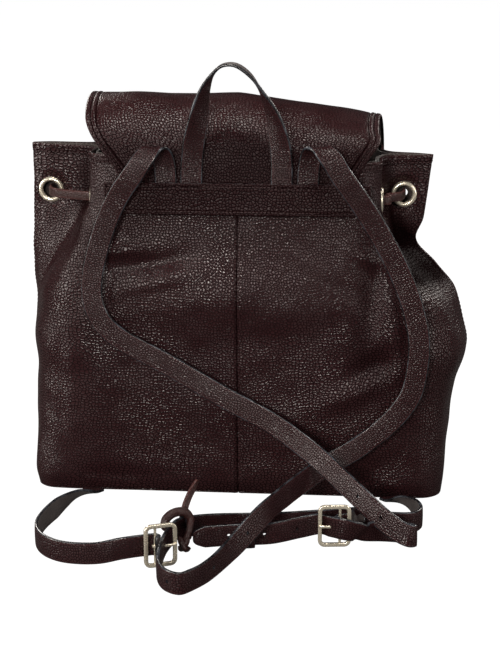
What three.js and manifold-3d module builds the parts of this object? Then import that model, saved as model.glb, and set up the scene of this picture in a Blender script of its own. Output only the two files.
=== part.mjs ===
// A slouching leather drawstring backpack with a front flap, standing on its base.
// Millimetres, +Z up, the wearer's side faces -Y, the origin is the centre of the base.
import * as THREE from "three";
import { mergeVertices } from "three/addons/utils/BufferGeometryUtils.js";
import Module from "manifold-3d";

const wasm = await Module();
wasm.setup();

// ---------------------------------------------------------------- driving dimensions
const LEATHER = 2.0; // body leather
const GAP = 0.3; // between pieces that touch
const STRAP_WIDTH = 17;
const STRAP_THICKNESS = 2.4;
const LACE_WIDTH = 7.5;
const LACE_THICKNESS = 2.2;
const RIM_HEIGHT = 277.5; // mouth of the bag, mean
const RIM_TILT = 3.0; // the left of the mouth stands higher than the mean, the right lower
const LACE_HEIGHT = 243; // eyelet centres
const RIDGE = { left: 118, right: 112 }; // half-widths of the flat between the two back pleats
const EAR_EYELET = { left: 160, right: 131 };
const EYELET = { outer: 10.5, inner: 6.8, thickness: 4.0 };
const BAND = { left: -105, right: 105, bottom: 234, top: 259, inner: -71.2, outer: -73.2 };
const BASE_STACK = { panel: 2.4, board: 2.0, lining: 0.8 };
const FLAP_LEATHER = 1.5;
const FLAP_LINING = 0.8;
const BUCKLE = { width: 25, height: 33, rod: 3.0, corner: 5 };
const BAR = 4; // the bar's distance from the middle of its buckle

// One row for each height at which the body's outline is known. left and right are the half-widths,
// back and front the two faces, corner the rounding, pleat how far the mouth's folds are formed.
const LEVELS = [
  { z: 0, left: 170.5, right: 167, back: -62, front: 62, corner: 20, pleat: 0 },
  { z: 13, left: 173.5, right: 169, back: -67, front: 66, corner: 28, pleat: 0 },
  { z: 40, left: 173.5, right: 171, back: -68.2, front: 68.3, corner: 37, pleat: 0 },
  { z: 65, left: 174.5, right: 172.5, back: -69, front: 70, corner: 44, pleat: 0 },
  { z: 92, left: 175, right: 178, back: -69.6, front: 70, corner: 47, pleat: 0.01 },
  { z: 118, left: 176, right: 186, back: -70, front: 70, corner: 50, pleat: 0.02 },
  { z: 140, left: 176, right: 182, back: -69.7, front: 68.8, corner: 50, pleat: 0.07 },
  { z: 165, left: 177, right: 174.5, back: -69, front: 67, corner: 50, pleat: 0.15 },
  { z: 185, left: 177.5, right: 159, back: -68.2, front: 65.2, corner: 48.5, pleat: 0.33 },
  { z: 205, left: 178, right: 143, back: -67, front: 63, corner: 46, pleat: 0.55 },
  { z: 222, left: 177, right: 148, back: -66.2, front: 61, corner: 43, pleat: 0.75 },
  { z: 243, left: 176, right: 151, back: -65, front: 58, corner: 40, pleat: 0.95 },
  { z: 285, left: 176, right: 155.5, back: -62, front: 54, corner: 40, pleat: 1 },
];

// ---------------------------------------------------------------- solids and meshes
const group = new THREE.Group();

const LOOKS = {
  leather: { color: 0x33201f, roughness: 0.5, metalness: 0 },
  strap: { color: 0x2e1c1e, roughness: 0.48, metalness: 0 },
  lace: { color: 0x46201c, roughness: 0.5, metalness: 0 },
  gold: { color: 0xe6dcb8, roughness: 0.2, metalness: 1 },
  lining: { color: 0x4a3f3c, roughness: 0.85, metalness: 0 },
  board: { color: 0x6b5b48, roughness: 0.9, metalness: 0 },
};

function material(look) {
  return new THREE.MeshStandardMaterial(LOOKS[look]);
}

function add(name, geometry, look, parent = group) {
  const mesh = new THREE.Mesh(geometry, material(look));
  mesh.name = name;
  parent.add(mesh);
  return mesh;
}

function solidOf(geometry) {
  const bare = new THREE.BufferGeometry();
  const flat = geometry.index ? geometry.toNonIndexed() : geometry;
  bare.setAttribute("position", flat.getAttribute("position").clone());
  const merged = mergeVertices(bare, 1e-4);
  return new wasm.Manifold(
    new wasm.Mesh({
      numProp: 3,
      vertProperties: new Float32Array(merged.attributes.position.array),
      triVerts: new Uint32Array(merged.index.array),
    }),
  );
}

function geometryOf(solid) {
  const mesh = solid.getMesh();
  const geometry = new THREE.BufferGeometry();
  geometry.setAttribute("position", new THREE.BufferAttribute(mesh.vertProperties, 3));
  geometry.setIndex(new THREE.BufferAttribute(mesh.triVerts, 1));
  return geometry;
}

function cut(geometry, ...tools) {
  return geometryOf(tools.reduce((solid, tool) => solid.subtract(solidOf(tool)), solidOf(geometry)));
}

function join(...geometries) {
  return geometryOf(geometries.map(solidOf).reduce((a, b) => a.add(b)));
}

// A closed solid between two grids of points, rows by columns: outer is seen from outside.
function slab(outer, inner, closed = false) {
  const rows = outer.length;
  const columns = outer[0].length;
  const positions = [];
  const triangle = (a, b, c) => positions.push(...a.toArray(), ...b.toArray(), ...c.toArray());
  const quad = (a, b, c, d) => {
    triangle(a, b, c);
    triangle(a, c, d);
  };
  const spans = closed ? columns : columns - 1;
  for (let r = 0; r < rows - 1; r++) {
    for (let c = 0; c < spans; c++) {
      const n = (c + 1) % columns;
      quad(outer[r][c], outer[r][n], outer[r + 1][n], outer[r + 1][c]);
      quad(inner[r][n], inner[r][c], inner[r + 1][c], inner[r + 1][n]);
    }
  }
  const last = rows - 1;
  for (let c = 0; c < spans; c++) {
    const n = (c + 1) % columns;
    quad(inner[0][c], inner[0][n], outer[0][n], outer[0][c]);
    quad(outer[last][c], outer[last][n], inner[last][n], inner[last][c]);
  }
  if (!closed) {
    const end = columns - 1;
    for (let r = 0; r < last; r++) {
      quad(inner[r][0], outer[r][0], outer[r + 1][0], inner[r + 1][0]);
      quad(outer[r][end], inner[r][end], inner[r + 1][end], outer[r + 1][end]);
    }
  }
  const geometry = new THREE.BufferGeometry();
  geometry.setAttribute("position", new THREE.Float32BufferAttribute(positions, 3));
  return geometry;
}

// ---------------------------------------------------------------- the body's outline
// Half an outline, from the centre of the back round one side to the centre of the front.
function halfOutline(level, side, inset) {
  const W = level[side] - inset;
  const R = level.corner;
  const ridge = RIDGE[side] - inset;
  const middle = (level.back + level.front) / 2;
  const back = level.back + inset;
  const front = level.front - inset;
  const quarter = (face, inward) => {
    const half = Math.abs(middle - face);
    const plain = [
      [(W - 1.2 * R) * 0.5, 0],
      [W - 1.2 * R, 0],
      [W - 0.6 * R, 0.1 * R],
      [W - 0.22 * R, 0.42 * R],
      [W - 0.04 * R, 0.85 * R],
      [W, half - 8],
    ];
    const pleated = [
      [ridge * 0.5, 0],
      [ridge - 12, 0],
      [ridge, 8],
      [ridge + 1, 34 - inset],
      [ridge + 8, half - 13 + 1.7 * inset],
      [W - 13, half - 8.5 + 1.2 * inset],
    ];
    return plain.map(([x, y], i) => {
      const px = THREE.MathUtils.lerp(x, pleated[i][0], level.pleat);
      const py = THREE.MathUtils.lerp(y, pleated[i][1], level.pleat);
      return [px, face + inward * py];
    });
  };
  const points = [[0, back], ...quarter(back, 1), [W, middle]];
  return [...points, ...quarter(front, -1).reverse()];
}

const KEYS = 28; // key points round the outline
const SIDE_SEAM = { left: 7, right: 21 }; // their numbers at the two side seams

// A value of LEVELS at height z, on a smooth curve through the rows.
function levelValue(key, z) {
  const above = LEVELS.findIndex((level) => level.z >= z);
  const i = (above < 0 ? LEVELS.length : Math.max(above, 1)) - 1;
  const low = LEVELS[i];
  const high = LEVELS[Math.min(i + 1, LEVELS.length - 1)];
  if (high === low) return low[key];
  const slopeAt = (n) => {
    const before = LEVELS[Math.max(n - 1, 0)];
    const after = LEVELS[Math.min(n + 1, LEVELS.length - 1)];
    return (after[key] - before[key]) / (after.z - before.z);
  };
  const span = high.z - low.z;
  const t = THREE.MathUtils.clamp((z - low.z) / span, 0, 1);
  const ends = low[key] * (1 + 2 * t) * (1 - t) ** 2 + high[key] * t * t * (3 - 2 * t);
  return ends + span * (slopeAt(i) * t * (1 - t) ** 2 - slopeAt(i + 1) * t * t * (1 - t));
}

function outlineAt(z, inset) {
  const level = {};
  for (const key of Object.keys(LEVELS[0])) level[key] = levelValue(key, z);
  level.pleat = THREE.MathUtils.clamp(level.pleat, 0, 1);
  const left = halfOutline(level, "left", inset).map(([x, y]) => new THREE.Vector3(-x, y, z));
  const right = halfOutline(level, "right", inset).map(([x, y]) => new THREE.Vector3(x, y, z));
  const points = [...left, new THREE.Vector3(0, level.front - inset, z), ...right.slice(1).reverse()];
  return new THREE.CatmullRomCurve3(points, true, "centripetal");
}

const outlines = new Map();

// A point of the body's surface: key is the place round the outline, depth is straight in from it, and
// inset draws the whole outline in, which keeps the folds of the lining apart.
function bodyPoint(key, z, depth = 0, inset = 0) {
  const place = `${z} ${inset}`;
  if (!outlines.has(place)) outlines.set(place, outlineAt(z, inset));
  const curve = outlines.get(place);
  const t = (((key / KEYS) % 1) + 1) % 1;
  const point = curve.getPoint(t);
  const before = curve.getPoint((t - 0.004 + 1) % 1);
  const after = curve.getPoint((t + 0.004) % 1);
  const inward = new THREE.Vector3(before.y - after.y, after.x - before.x, 0).normalize();
  return point.addScaledVector(inward, -depth);
}

function rimAt(key) {
  const x = bodyPoint(key, LACE_HEIGHT).x;
  return RIM_HEIGHT - (RIM_TILT * x) / 150;
}

const HEIGHTS = [0, 0.046, 0.14, 0.24, 0.34, 0.42, 0.5, 0.59, 0.67, 0.75, 0.83, 0.91, 1];

function wall(from, to, steps, bottom, inset = 0, thickness = LEATHER, closed = false) {
  const grid = (depth) =>
    HEIGHTS.map((share) =>
      Array.from({ length: closed ? steps : steps + 1 }, (_, i) => {
        const key = from + ((to - from) * i) / steps;
        const z = bottom + share * (rimAt(key) - bottom);
        return bodyPoint(key, z, depth, inset);
      }),
    );
  return slab(grid(thickness), grid(0), closed);
}

// ---------------------------------------------------------------- eyelets
// A hole's place on the body: its centre across and along, and the way the leather faces there.
const EYELETS = [];
for (const side of ["left", "right"]) {
  const s = side === "left" ? -1 : 1;
  const ear = EAR_EYELET[side];
  const ridge = RIDGE[side] + 0.6;
  EYELETS.push({ name: `eyelet_back_ridge_${side}`, at: [s * ridge, -43], facing: [s, 0] });
  EYELETS.push({ name: `eyelet_back_ear_${side}`, at: [s * ear, -10.6], facing: [0, -1] });
  EYELETS.push({ name: `eyelet_front_ear_${side}`, at: [s * ear, 3.6], facing: [0, 1] });
  EYELETS.push({ name: `eyelet_front_ridge_${side}`, at: [s * ridge, 36], facing: [s, 0] });
  EYELETS.push({ name: `eyelet_front_centre_${side}`, at: [s * 24, 57.2], facing: [0, 1] });
}

function faceOutward(mesh, { at, facing }) {
  mesh.position.set(at[0], at[1], LACE_HEIGHT);
  const outward = new THREE.Vector3(facing[0], facing[1], 0);
  mesh.quaternion.setFromUnitVectors(new THREE.Vector3(0, 1, 0), outward);
}

function eyeletHole(eyelet) {
  const drill = new THREE.Mesh(new THREE.CylinderGeometry(EYELET.outer + GAP, EYELET.outer + GAP, 12, 12));
  faceOutward(drill, eyelet);
  drill.updateMatrixWorld(true);
  return drill.geometry.applyMatrix4(drill.matrixWorld);
}

function eyeletRing() {
  const { outer, inner, thickness } = EYELET;
  const half = thickness / 2;
  const profile = [
    [inner, 0],
    [inner + 1.4, -half],
    [outer - 1, -half],
    [outer, 0],
    [outer - 1, half],
    [inner + 1.4, half],
    [inner, 0],
  ].map(([x, y]) => new THREE.Vector2(x, y));
  return new THREE.LatheGeometry(profile, 16);
}

for (const eyelet of EYELETS) faceOutward(add(eyelet.name, eyeletRing(), "gold"), eyelet);

// ---------------------------------------------------------------- body panels and what they hold
const holes = EYELETS.map(eyeletHole);
const CENTRE_SEAM = 0.006; // half the gap at the back's centre seam, in outline keys
const LINING_INSET = 4.4;
const SIDE_GAP = 0.12; // the same at the side seams, where the keys stand closer

function buildBody() {
  const { left, right } = SIDE_SEAM;
  const backLeft = wall(CENTRE_SEAM, left - SIDE_GAP, 14, 0);
  const backRight = wall(right + SIDE_GAP, KEYS - CENTRE_SEAM, 14, 0);
  const front = wall(left + SIDE_GAP, right - SIDE_GAP, 26, 0);
  add("back_panel_left", cut(backLeft, ...holes), "leather");
  add("back_panel_right", cut(backRight, ...holes), "leather");
  add("front_panel", cut(front, ...holes), "leather");
  const floor = BASE_STACK.panel + BASE_STACK.board + BASE_STACK.lining + 3 * GAP;
  const lining = wall(0, KEYS, 28, floor, LINING_INSET, BASE_STACK.lining, true);
  add("lining", cut(lining, ...holes), "lining");
}

// A plate that fills the body at one height.
function plate(bottom, thickness, depth) {
  const steps = 56;
  const shape = new THREE.Shape();
  for (let i = 0; i < steps; i++) {
    const point = bodyPoint((i * KEYS) / steps, Math.max(bottom, 0), depth);
    if (i) shape.lineTo(point.x, point.y);
    else shape.moveTo(point.x, point.y);
  }
  shape.closePath();
  const geometry = new THREE.ExtrudeGeometry(shape, { depth: thickness, bevelEnabled: false });
  return geometry.translate(0, 0, bottom);
}

function buildBase() {
  const { panel, board, lining } = BASE_STACK;
  const clear = LEATHER + GAP + 0.3;
  add("base_panel", plate(0, panel, clear), "leather");
  add("base_board", plate(panel + GAP, board, clear + 1), "board");
  add("lining_floor", plate(panel + board + 2 * GAP, lining, clear + 1), "lining");
}

buildBody();
buildBase();

// ---------------------------------------------------------------- straps
// A flat strip along a curve. Each station is a point and the way its outer face looks.
function strip(stations, width, thickness, steps, tip = 0) {
  const centres = new THREE.CatmullRomCurve3(
    stations.map(([p]) => new THREE.Vector3(...p)),
    false,
    "centripetal",
  );
  const faces = stations.map(([, n]) => new THREE.Vector3(...n).normalize());
  const rings = [];
  const length = centres.getLength();
  for (let i = 0; i <= steps; i++) {
    const t = i / steps;
    const place = t * (stations.length - 1);
    const first = Math.min(Math.floor(place), stations.length - 2);
    const outward = faces[first].clone().lerp(faces[first + 1], place - first);
    const tangent = centres.getTangent(t).normalize();
    const across = new THREE.Vector3().crossVectors(tangent, outward).normalize();
    const normal = new THREE.Vector3().crossVectors(across, tangent).normalize();
    const left = (1 - t) * length;
    const half = (width / 2) * (left < tip ? 0.35 + 0.65 * Math.sqrt(left / tip) : 1);
    const centre = centres.getPoint(t);
    const corner = (a, b) =>
      centre.clone().addScaledVector(across, a * half).addScaledVector(normal, (b * thickness) / 2);
    rings.push([corner(-1, 1), corner(1, 1), corner(1, -1), corner(-1, -1)]);
  }
  const positions = [];
  const triangle = (a, b, c) => positions.push(...a.toArray(), ...b.toArray(), ...c.toArray());
  rings.slice(1).forEach((ring, i) => {
    const before = rings[i];
    for (let k = 0; k < 4; k++) {
      const n = (k + 1) % 4;
      triangle(before[k], ring[n], ring[k]);
      triangle(before[k], before[n], ring[n]);
    }
  });
  const close = (r, a, b, c, d) => {
    triangle(r[a], r[b], r[c]);
    triangle(r[a], r[c], r[d]);
  };
  close(rings[0], 3, 2, 1, 0);
  close(rings[rings.length - 1], 0, 1, 2, 3);
  const geometry = new THREE.BufferGeometry();
  geometry.setAttribute("position", new THREE.Float32BufferAttribute(positions, 3));
  return geometry;
}

// The band sewn across the back covers the sewn ends of the flap, the handle and the straps.
function buildBand() {
  const { left, right, bottom, top, inner, outer } = BAND;
  const geometry = new THREE.BoxGeometry(right - left, inner - outer, top - bottom);
  add("back_band", geometry.translate((left + right) / 2, (inner + outer) / 2, (top + bottom) / 2), "leather");
}

// The route of each long strap: out from under the band, folded over, down across the back, over the
// table and through its buckle. Each station is [centre, way the grain side looks].
const STRAP_A = [
  [[-56, -69.6, 236], [0, 1, 0]],
  [[-56, -69.6, 262], [0, 1, 0]],
  [[-57, -70.4, 275], [0, 1, 0.1]],
  [[-60, -73.5, 284], [0, 0.7, 0.7]],
  [[-64, -78.5, 286.5], [0, -0.1, 1]],
  [[-70, -83.5, 281], [-0.1, -0.9, 0.4]],
  [[-79, -84, 268], [0, -1, 0.05]],
  [[-91, -81.5, 251], [0, -1, 0]],
  [[-101, -79.5, 231], [0, -1, 0]],
  [[-110, -78, 205], [0, -1, 0]],
  [[-115, -78, 180], [-0.1, -1, 0]],
  [[-114, -79, 162], [-0.1, -1, 0]],
  [[-107, -80, 147], [-0.1, -1, 0]],
  [[-94, -81, 135], [0, -1, 0.1]],
  [[-54, -83, 114], [0, -1, 0.1]],
  [[-11, -88, 91], [0, -1, 0.1]],
  [[32, -95, 70], [0, -1, 0.1]],
  [[66, -113, 51], [0, -1, 0.1]],
  [[90, -140, 38.5], [0, -1, 0.05]],
  [[104, -156, 31], [0, -1, 0.05]],
  [[118, -167.5, 22], [0.1, -1, 0]],
  [[133, -173.5, 13], [0.2, -1, 0]],
  [[141, -174.5, 10.2], [0.8, -0.6, 0]],
  [[144.5, -170, 9.4], [1, 0.4, 0]],
  [[139, -166, 9.4], [0.2, 1, 0]],
  [[120, -163.5, 9.6], [0, 1, 0]],
  [[107, -170.5, 11.4], [0.5, 1, 0]],
  [[99.5, -178.4, 14], [0.3, 1, 0]],
  [[90, -181.4, 16.9], [0, 1, 0]],
  [[80.5, -176.8, 16.9], [-0.5, 1, 0]],
  [[72, -170.2, 16.3], [-0.3, 1, 0]],
  [[57, -171.5, 13.4], [0.1, 1, 0]],
  [[36, -180, 11.2], [0.1, 1, 0]],
  [[8, -186, 11.4], [0, 1, 0]],
  [[-22, -191, 10], [0, 1, 0]],
];

const STRAP_B = [
  [[56, -69.6, 236], [0, 1, 0]],
  [[56, -69.6, 262], [0, 1, 0]],
  [[57, -70.4, 275], [0, 1, 0.1]],
  [[60, -73.5, 285], [0, 0.7, 0.7]],
  [[65, -78.5, 288], [0, -0.1, 1]],
  [[73, -83.5, 282], [0.1, -0.9, 0.4]],
  [[83, -84, 267], [0, -1, 0.05]],
  [[97, -81, 247], [0, -1, 0]],
  [[112, -78, 223], [0, -1, 0]],
  [[128, -76.5, 193], [0, -1, 0]],
  [[139, -77, 165], [0, -1, 0]],
  [[145, -78, 138], [0, -1, 0]],
  [[144, -78, 112], [0, -1, 0]],
  [[139, -78, 91], [0, -1, 0]],
  [[124, -79, 70], [0, -1, 0.1]],
  [[98, -84, 49], [0, -1, 0.1]],
  [[74, -99, 38.5], [0, -1, 0.1]],
  [[58, -124, 34], [0, -1, 0.1]],
  [[44, -156, 32], [0.1, -1, 0.1]],
  [[31, -189, 29.5], [0.3, -1, 0.1]],
  [[10, -222, 14], [0.4, -1, 0]],
  [[-4, -252, 9.2], [0.6, -0.8, 0]],
  [[-14, -270, 9.2], [0.3, -1, 0]],
  [[-21, -277, 9.2], [-0.2, -1, 0]],
  [[-32, -270, 9.2], [-0.8, -0.6, 0]],
  [[-39, -255, 11], [-1, -0.2, 0]],
  [[-39.5, -240, 15], [-1, 0.1, 0]],
  [[-38.8, -224, 17], [-1, 0.1, 0]],
  [[-36.6, -207, 17], [-0.9, 0.4, 0]],
  [[-33.6, -190, 16], [-0.8, 0.6, 0]],
  [[-24, -174, 13], [-0.6, 0.8, 0]],
  [[-8, -162, 10.5], [-0.4, 1, 0]],
  [[16, -155, 9.2], [-0.2, 1, 0]],
  [[45, -150, 9.2], [-0.2, 1, 0]],
  [[78, -141, 9.2], [-0.2, 1, 0]],
  [[108, -132, 9.2], [-0.2, 1, 0]],
];

// The short straps leave the two bottom corners of the back, turn on edge and end round a buckle's bar.
const SHORT_LEFT = [
  [[-118, -72, 3.4], [0, 0, 1]],
  [[-121, -84, 5], [-0.1, 0, 1]],
  [[-129, -107, 8.4], [-0.8, 0.3, 0.6]],
  [[-137, -135, 9.2], [-1, 0.2, 0]],
  [[-142, -165, 9.2], [-1, 0, 0]],
  [[-141, -190, 9.2], [-1, -0.3, 0]],
  [[-131, -212, 9.2], [-0.7, -0.7, 0]],
  [[-114, -225, 9.2], [-0.4, -1, 0]],
  [[-88, -231.5, 11.5], [0, -1, 0]],
  [[-70.5, -231.5, 15.5], [0.1, -1, 0]],
  [[-60, -229.6, 16.9], [0.3, -1, 0]],
  [[-53.2, -226.6, 16.9], [0.4, -1, 0]],
  [[-49, -224.6, 16.9], [0.2, -1, 0]],
  [[-44.9, -223.9, 16.9], [-0.3, -1, 0]],
  [[-41.9, -226.6, 16.9], [-1, -0.1, 0]],
  [[-43.7, -230, 16.9], [0.2, 1, 0]],
];

const SHORT_RIGHT = [
  [[124, -72, 3.4], [0, 0, 1]],
  [[129, -83, 5], [0.1, 0, 1]],
  [[138, -98, 8.4], [0.8, 0.3, 0.6]],
  [[146, -114, 9.4], [1, 0.2, 0]],
  [[149, -130, 9.4], [1, -0.1, 0]],
  [[143, -142, 9.4], [0.7, -0.7, 0]],
  [[128, -147, 10.5], [0.1, -1, 0]],
  [[112, -149.5, 13], [-0.1, -1, 0]],
  [[103.5, -151.4, 15.5], [-0.3, -1, 0]],
  [[97.6, -158.5, 16.9], [-0.8, -0.6, 0]],
  [[94.4, -166.6, 16.9], [-0.8, -0.6, 0]],
  [[91, -170.9, 16.9], [-0.3, -1, 0]],
  [[86.8, -171.2, 16.9], [0.4, -1, 0]],
  [[84.6, -174.6, 16.9], [1, 0.1, 0]],
  [[87, -177.5, 16.9], [-0.1, 1, 0]],
];

// ---------------------------------------------------------------- buckles
// A rounded frame with a bar; its own frame has X along the strap, Z across it and -Y towards the eye.
function roundedLoop(width, height, corner) {
  const shape = new THREE.Shape();
  const x = width / 2;
  const y = height / 2;
  shape.moveTo(-x + corner, -y);
  shape.lineTo(x - corner, -y);
  shape.absarc(x - corner, -y + corner, corner, -Math.PI / 2, 0);
  shape.lineTo(x, y - corner);
  shape.absarc(x - corner, y - corner, corner, 0, Math.PI / 2);
  shape.lineTo(-x + corner, y);
  shape.absarc(-x + corner, y - corner, corner, Math.PI / 2, Math.PI);
  shape.lineTo(-x, -y + corner);
  shape.absarc(-x + corner, -y + corner, corner, Math.PI, Math.PI * 1.5);
  return shape;
}

function buckleFrame(hand) {
  const { width, height, rod, corner } = BUCKLE;
  const shape = roundedLoop(width, height, corner);
  shape.holes.push(roundedLoop(width - 2 * rod, height - 2 * rod, corner - rod + 0.6));
  const options = {
    depth: rod - 0.8,
    bevelEnabled: true,
    bevelThickness: 0.4,
    bevelSize: 0.4,
    bevelOffset: -0.4,
    bevelSegments: 1,
    curveSegments: 2,
  };
  const ring = new THREE.ExtrudeGeometry(shape, options).translate(0, 0, -(rod - 0.8) / 2);
  const post = new THREE.CylinderGeometry(1, 1, height - rod, 10).translate(hand * BAR, 0, 0);
  return join(ring, post).rotateX(Math.PI / 2);
}

// The prong: an eye round the bar and a finger that rests on the far side of the frame.
function buckleProng(hand) {
  const eye = new THREE.Shape();
  eye.absarc(0, 0, 2.6, 0, Math.PI * 2);
  eye.holes.push(new THREE.Path().absarc(0, 0, 1.35, 0, Math.PI * 2, true));
  const solid = { depth: 2.2, bevelEnabled: false, curveSegments: 8 };
  const ring = new THREE.ExtrudeGeometry(eye, solid).translate(0, 0, -1.1);
  const reach = BUCKLE.width / 2 + BAR - 0.6;
  const root = 1.9;
  const finger = new THREE.BoxGeometry(reach - root, 1.3, 2.2);
  return join(ring, finger.translate((-hand * (reach + root)) / 2, -2.3, 0));
}

// hand is the side of the frame that the bar stands nearer to, seen from behind the bag.
const BUCKLES = [
  { name: "left", at: [-41.4, -225.4, 16.9], turn: 0.42, hand: -1 },
  { name: "right", at: [83.5, -175, 16.9], turn: 0.12, hand: 1 },
];

function buildBuckle({ name, at, turn, hand }) {
  const place = new THREE.Group();
  place.position.set(...at);
  place.rotation.z = turn;
  group.add(place);
  add(`buckle_frame_${name}`, buckleFrame(hand), "gold", place);
  add(`buckle_prong_${name}`, buckleProng(hand), "gold", place).position.x = hand * BAR;
}

// The room that a buckle's prong needs in the straps: where it passes through the long strap, and
// between the two halves of the short strap's wrap round the bar.
function prongRoom({ at, turn, hand }) {
  const room = new THREE.Mesh(new THREE.BoxGeometry(BUCKLE.width / 2 + BAR + 4, 9, 3.4));
  room.geometry.translate((hand * (BAR + 3.2 - BUCKLE.width / 2)) / 2, -1.2, 0);
  room.position.set(...at);
  room.rotation.z = turn;
  room.updateMatrixWorld(true);
  return room.geometry.applyMatrix4(room.matrixWorld);
}

// ---------------------------------------------------------------- handle
const HANDLE = [
  [[-35.8, -69.6, 262.2], [0, -1, 0]],
  [[-35.2, -70, 275], [0.1, -1, 0]],
  [[-33.4, -71, 291], [0.25, -1, 0.05]],
  [[-29.6, -72.5, 309], [0.6, -0.9, 0.2]],
  [[-25, -74, 330], [0.9, -0.4, -0.3]],
  [[-19, -75, 343], [0.8, 0, -0.7]],
  [[-11, -75, 350.5], [0.3, 0, -1]],
  [[-1, -75, 351.4], [-0.1, 0, -1]],
  [[10, -75, 344.5], [-0.6, 0, -0.9]],
  [[20, -74.6, 331], [-0.9, -0.2, -0.5]],
  [[29, -73, 311], [-0.8, -0.8, -0.1]],
  [[34, -71, 290], [-0.3, -1, 0]],
  [[35.4, -70, 275], [-0.1, -1, 0]],
  [[35.4, -69.6, 262.2], [0, -1, 0]],
];

function buildStraps() {
  const [roomLeft, roomRight] = BUCKLES.map(prongRoom);
  const flat = (stations, steps, tip = 0) => strip(stations, STRAP_WIDTH, STRAP_THICKNESS, steps, tip);
  add("shoulder_strap_left", cut(flat(STRAP_A, 100, 9), roomRight), "strap");
  add("shoulder_strap_right", cut(flat(STRAP_B, 100, 9), roomLeft), "strap");
  add("short_strap_left", cut(flat(SHORT_LEFT, 48), roomLeft), "strap");
  add("short_strap_right", cut(flat(SHORT_RIGHT, 48), roomRight), "strap");
  add("top_handle", flat(HANDLE, 36), "strap");
}

// ---------------------------------------------------------------- flap
// Side view of the flap, from under the back band over the top and down the front, as [y, z].
const FLAP_BACK = [[-68.1, 237], [-68.1, 262], [-66.8, 276], [-62, 292], [-50, 308], [-33.2, 318.6]];
const FLAP_FRONT = [
  [-29.2, 320.4],
  [-15, 322.8],
  [8, 321.6],
  [34, 313],
  [56, 297],
  [70.5, 274],
  [74, 250],
  [76, 210],
  [77.4, 165],
  [78, 135],
  [78, 112],
];
const FLAP_HALF = { band: 92, top: 117, front: 121 };
const DROOP = 19.5; // how far the right end of the top hangs below the left
const DROOP_START = -5; // where along the top the droop begins
const SKEW = -7; // how far the flap has slipped to one side where it leaves the band

function droop(x) {
  return DROOP * Math.max(0, (x - DROOP_START) / (FLAP_HALF.top - DROOP_START)) ** 1.15;
}

// A point of the flap at share s across (-1 to 1) and share v along one of the two profiles.
function flapPoint(profile, s, v, depth) {
  const curve = new THREE.CatmullRomCurve3(profile.map(([y, z]) => new THREE.Vector3(0, y, z)));
  const point = curve.getPoint(v);
  const tangent = curve.getTangent(v);
  const outward = new THREE.Vector3(0, -tangent.z, tangent.y);
  const back = profile === FLAP_BACK;
  const { band, top, front } = FLAP_HALF;
  let half = back
    ? THREE.MathUtils.lerp(band, top, THREE.MathUtils.smoothstep(v, 0.1, 0.8))
    : THREE.MathUtils.lerp(top, front, THREE.MathUtils.smoothstep(v, 0, 0.5));
  const hem = back ? 0 : Math.max(0, (v - 0.84) / 0.16);
  half -= 26 * (1 - Math.sqrt(1 - hem * hem * 0.98));
  point.x = s * half + SKEW * (back ? THREE.MathUtils.smoothstep(v, 0.3, 1) : 1);
  const hang = back ? THREE.MathUtils.smoothstep(v, 0.4, 1) : 1 - 0.6 * v;
  point.z -= droop(point.x) * hang;
  return point.addScaledVector(outward, -depth);
}

function flapSheet(profile, rows, outerDepth, innerDepth, trim = 0) {
  const columns = 12;
  const grid = (depth) =>
    Array.from({ length: rows + 1 }, (_, r) =>
      Array.from({ length: columns + 1 }, (_, c) => {
        const s = (2 * c) / columns - 1;
        return flapPoint(profile, s * (1 - trim), THREE.MathUtils.lerp(trim, 1 - trim, r / rows), depth);
      }),
    );
  return slab(grid(outerDepth), grid(innerDepth));
}

function buildFlap() {
  add("flap_back", flapSheet(FLAP_BACK, 7, 0, FLAP_LEATHER), "leather");
  add("flap_cover", flapSheet(FLAP_FRONT, 14, 0, FLAP_LEATHER), "leather");
  const inner = FLAP_LEATHER + 2 * GAP;
  add("flap_lining", flapSheet(FLAP_FRONT, 14, inner, inner + FLAP_LINING, 0.02), "lining");
}

// ---------------------------------------------------------------- magnetic closure
const MAGNET = { radius: 9, thickness: 2.4, z: 140, socket: 69.7, stud: 72.4 };

function buildMagnet() {
  const disc = () => new THREE.CylinderGeometry(MAGNET.radius, MAGNET.radius, MAGNET.thickness, 24);
  const body = add("magnet_socket", disc(), "gold");
  body.position.set(0, MAGNET.socket + MAGNET.thickness / 2, MAGNET.z);
  const flap = add("magnet_stud", disc(), "gold");
  flap.position.set(0, MAGNET.stud + MAGNET.thickness / 2, MAGNET.z);
}

// ---------------------------------------------------------------- drawstring
const Z = LACE_HEIGHT;

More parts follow.
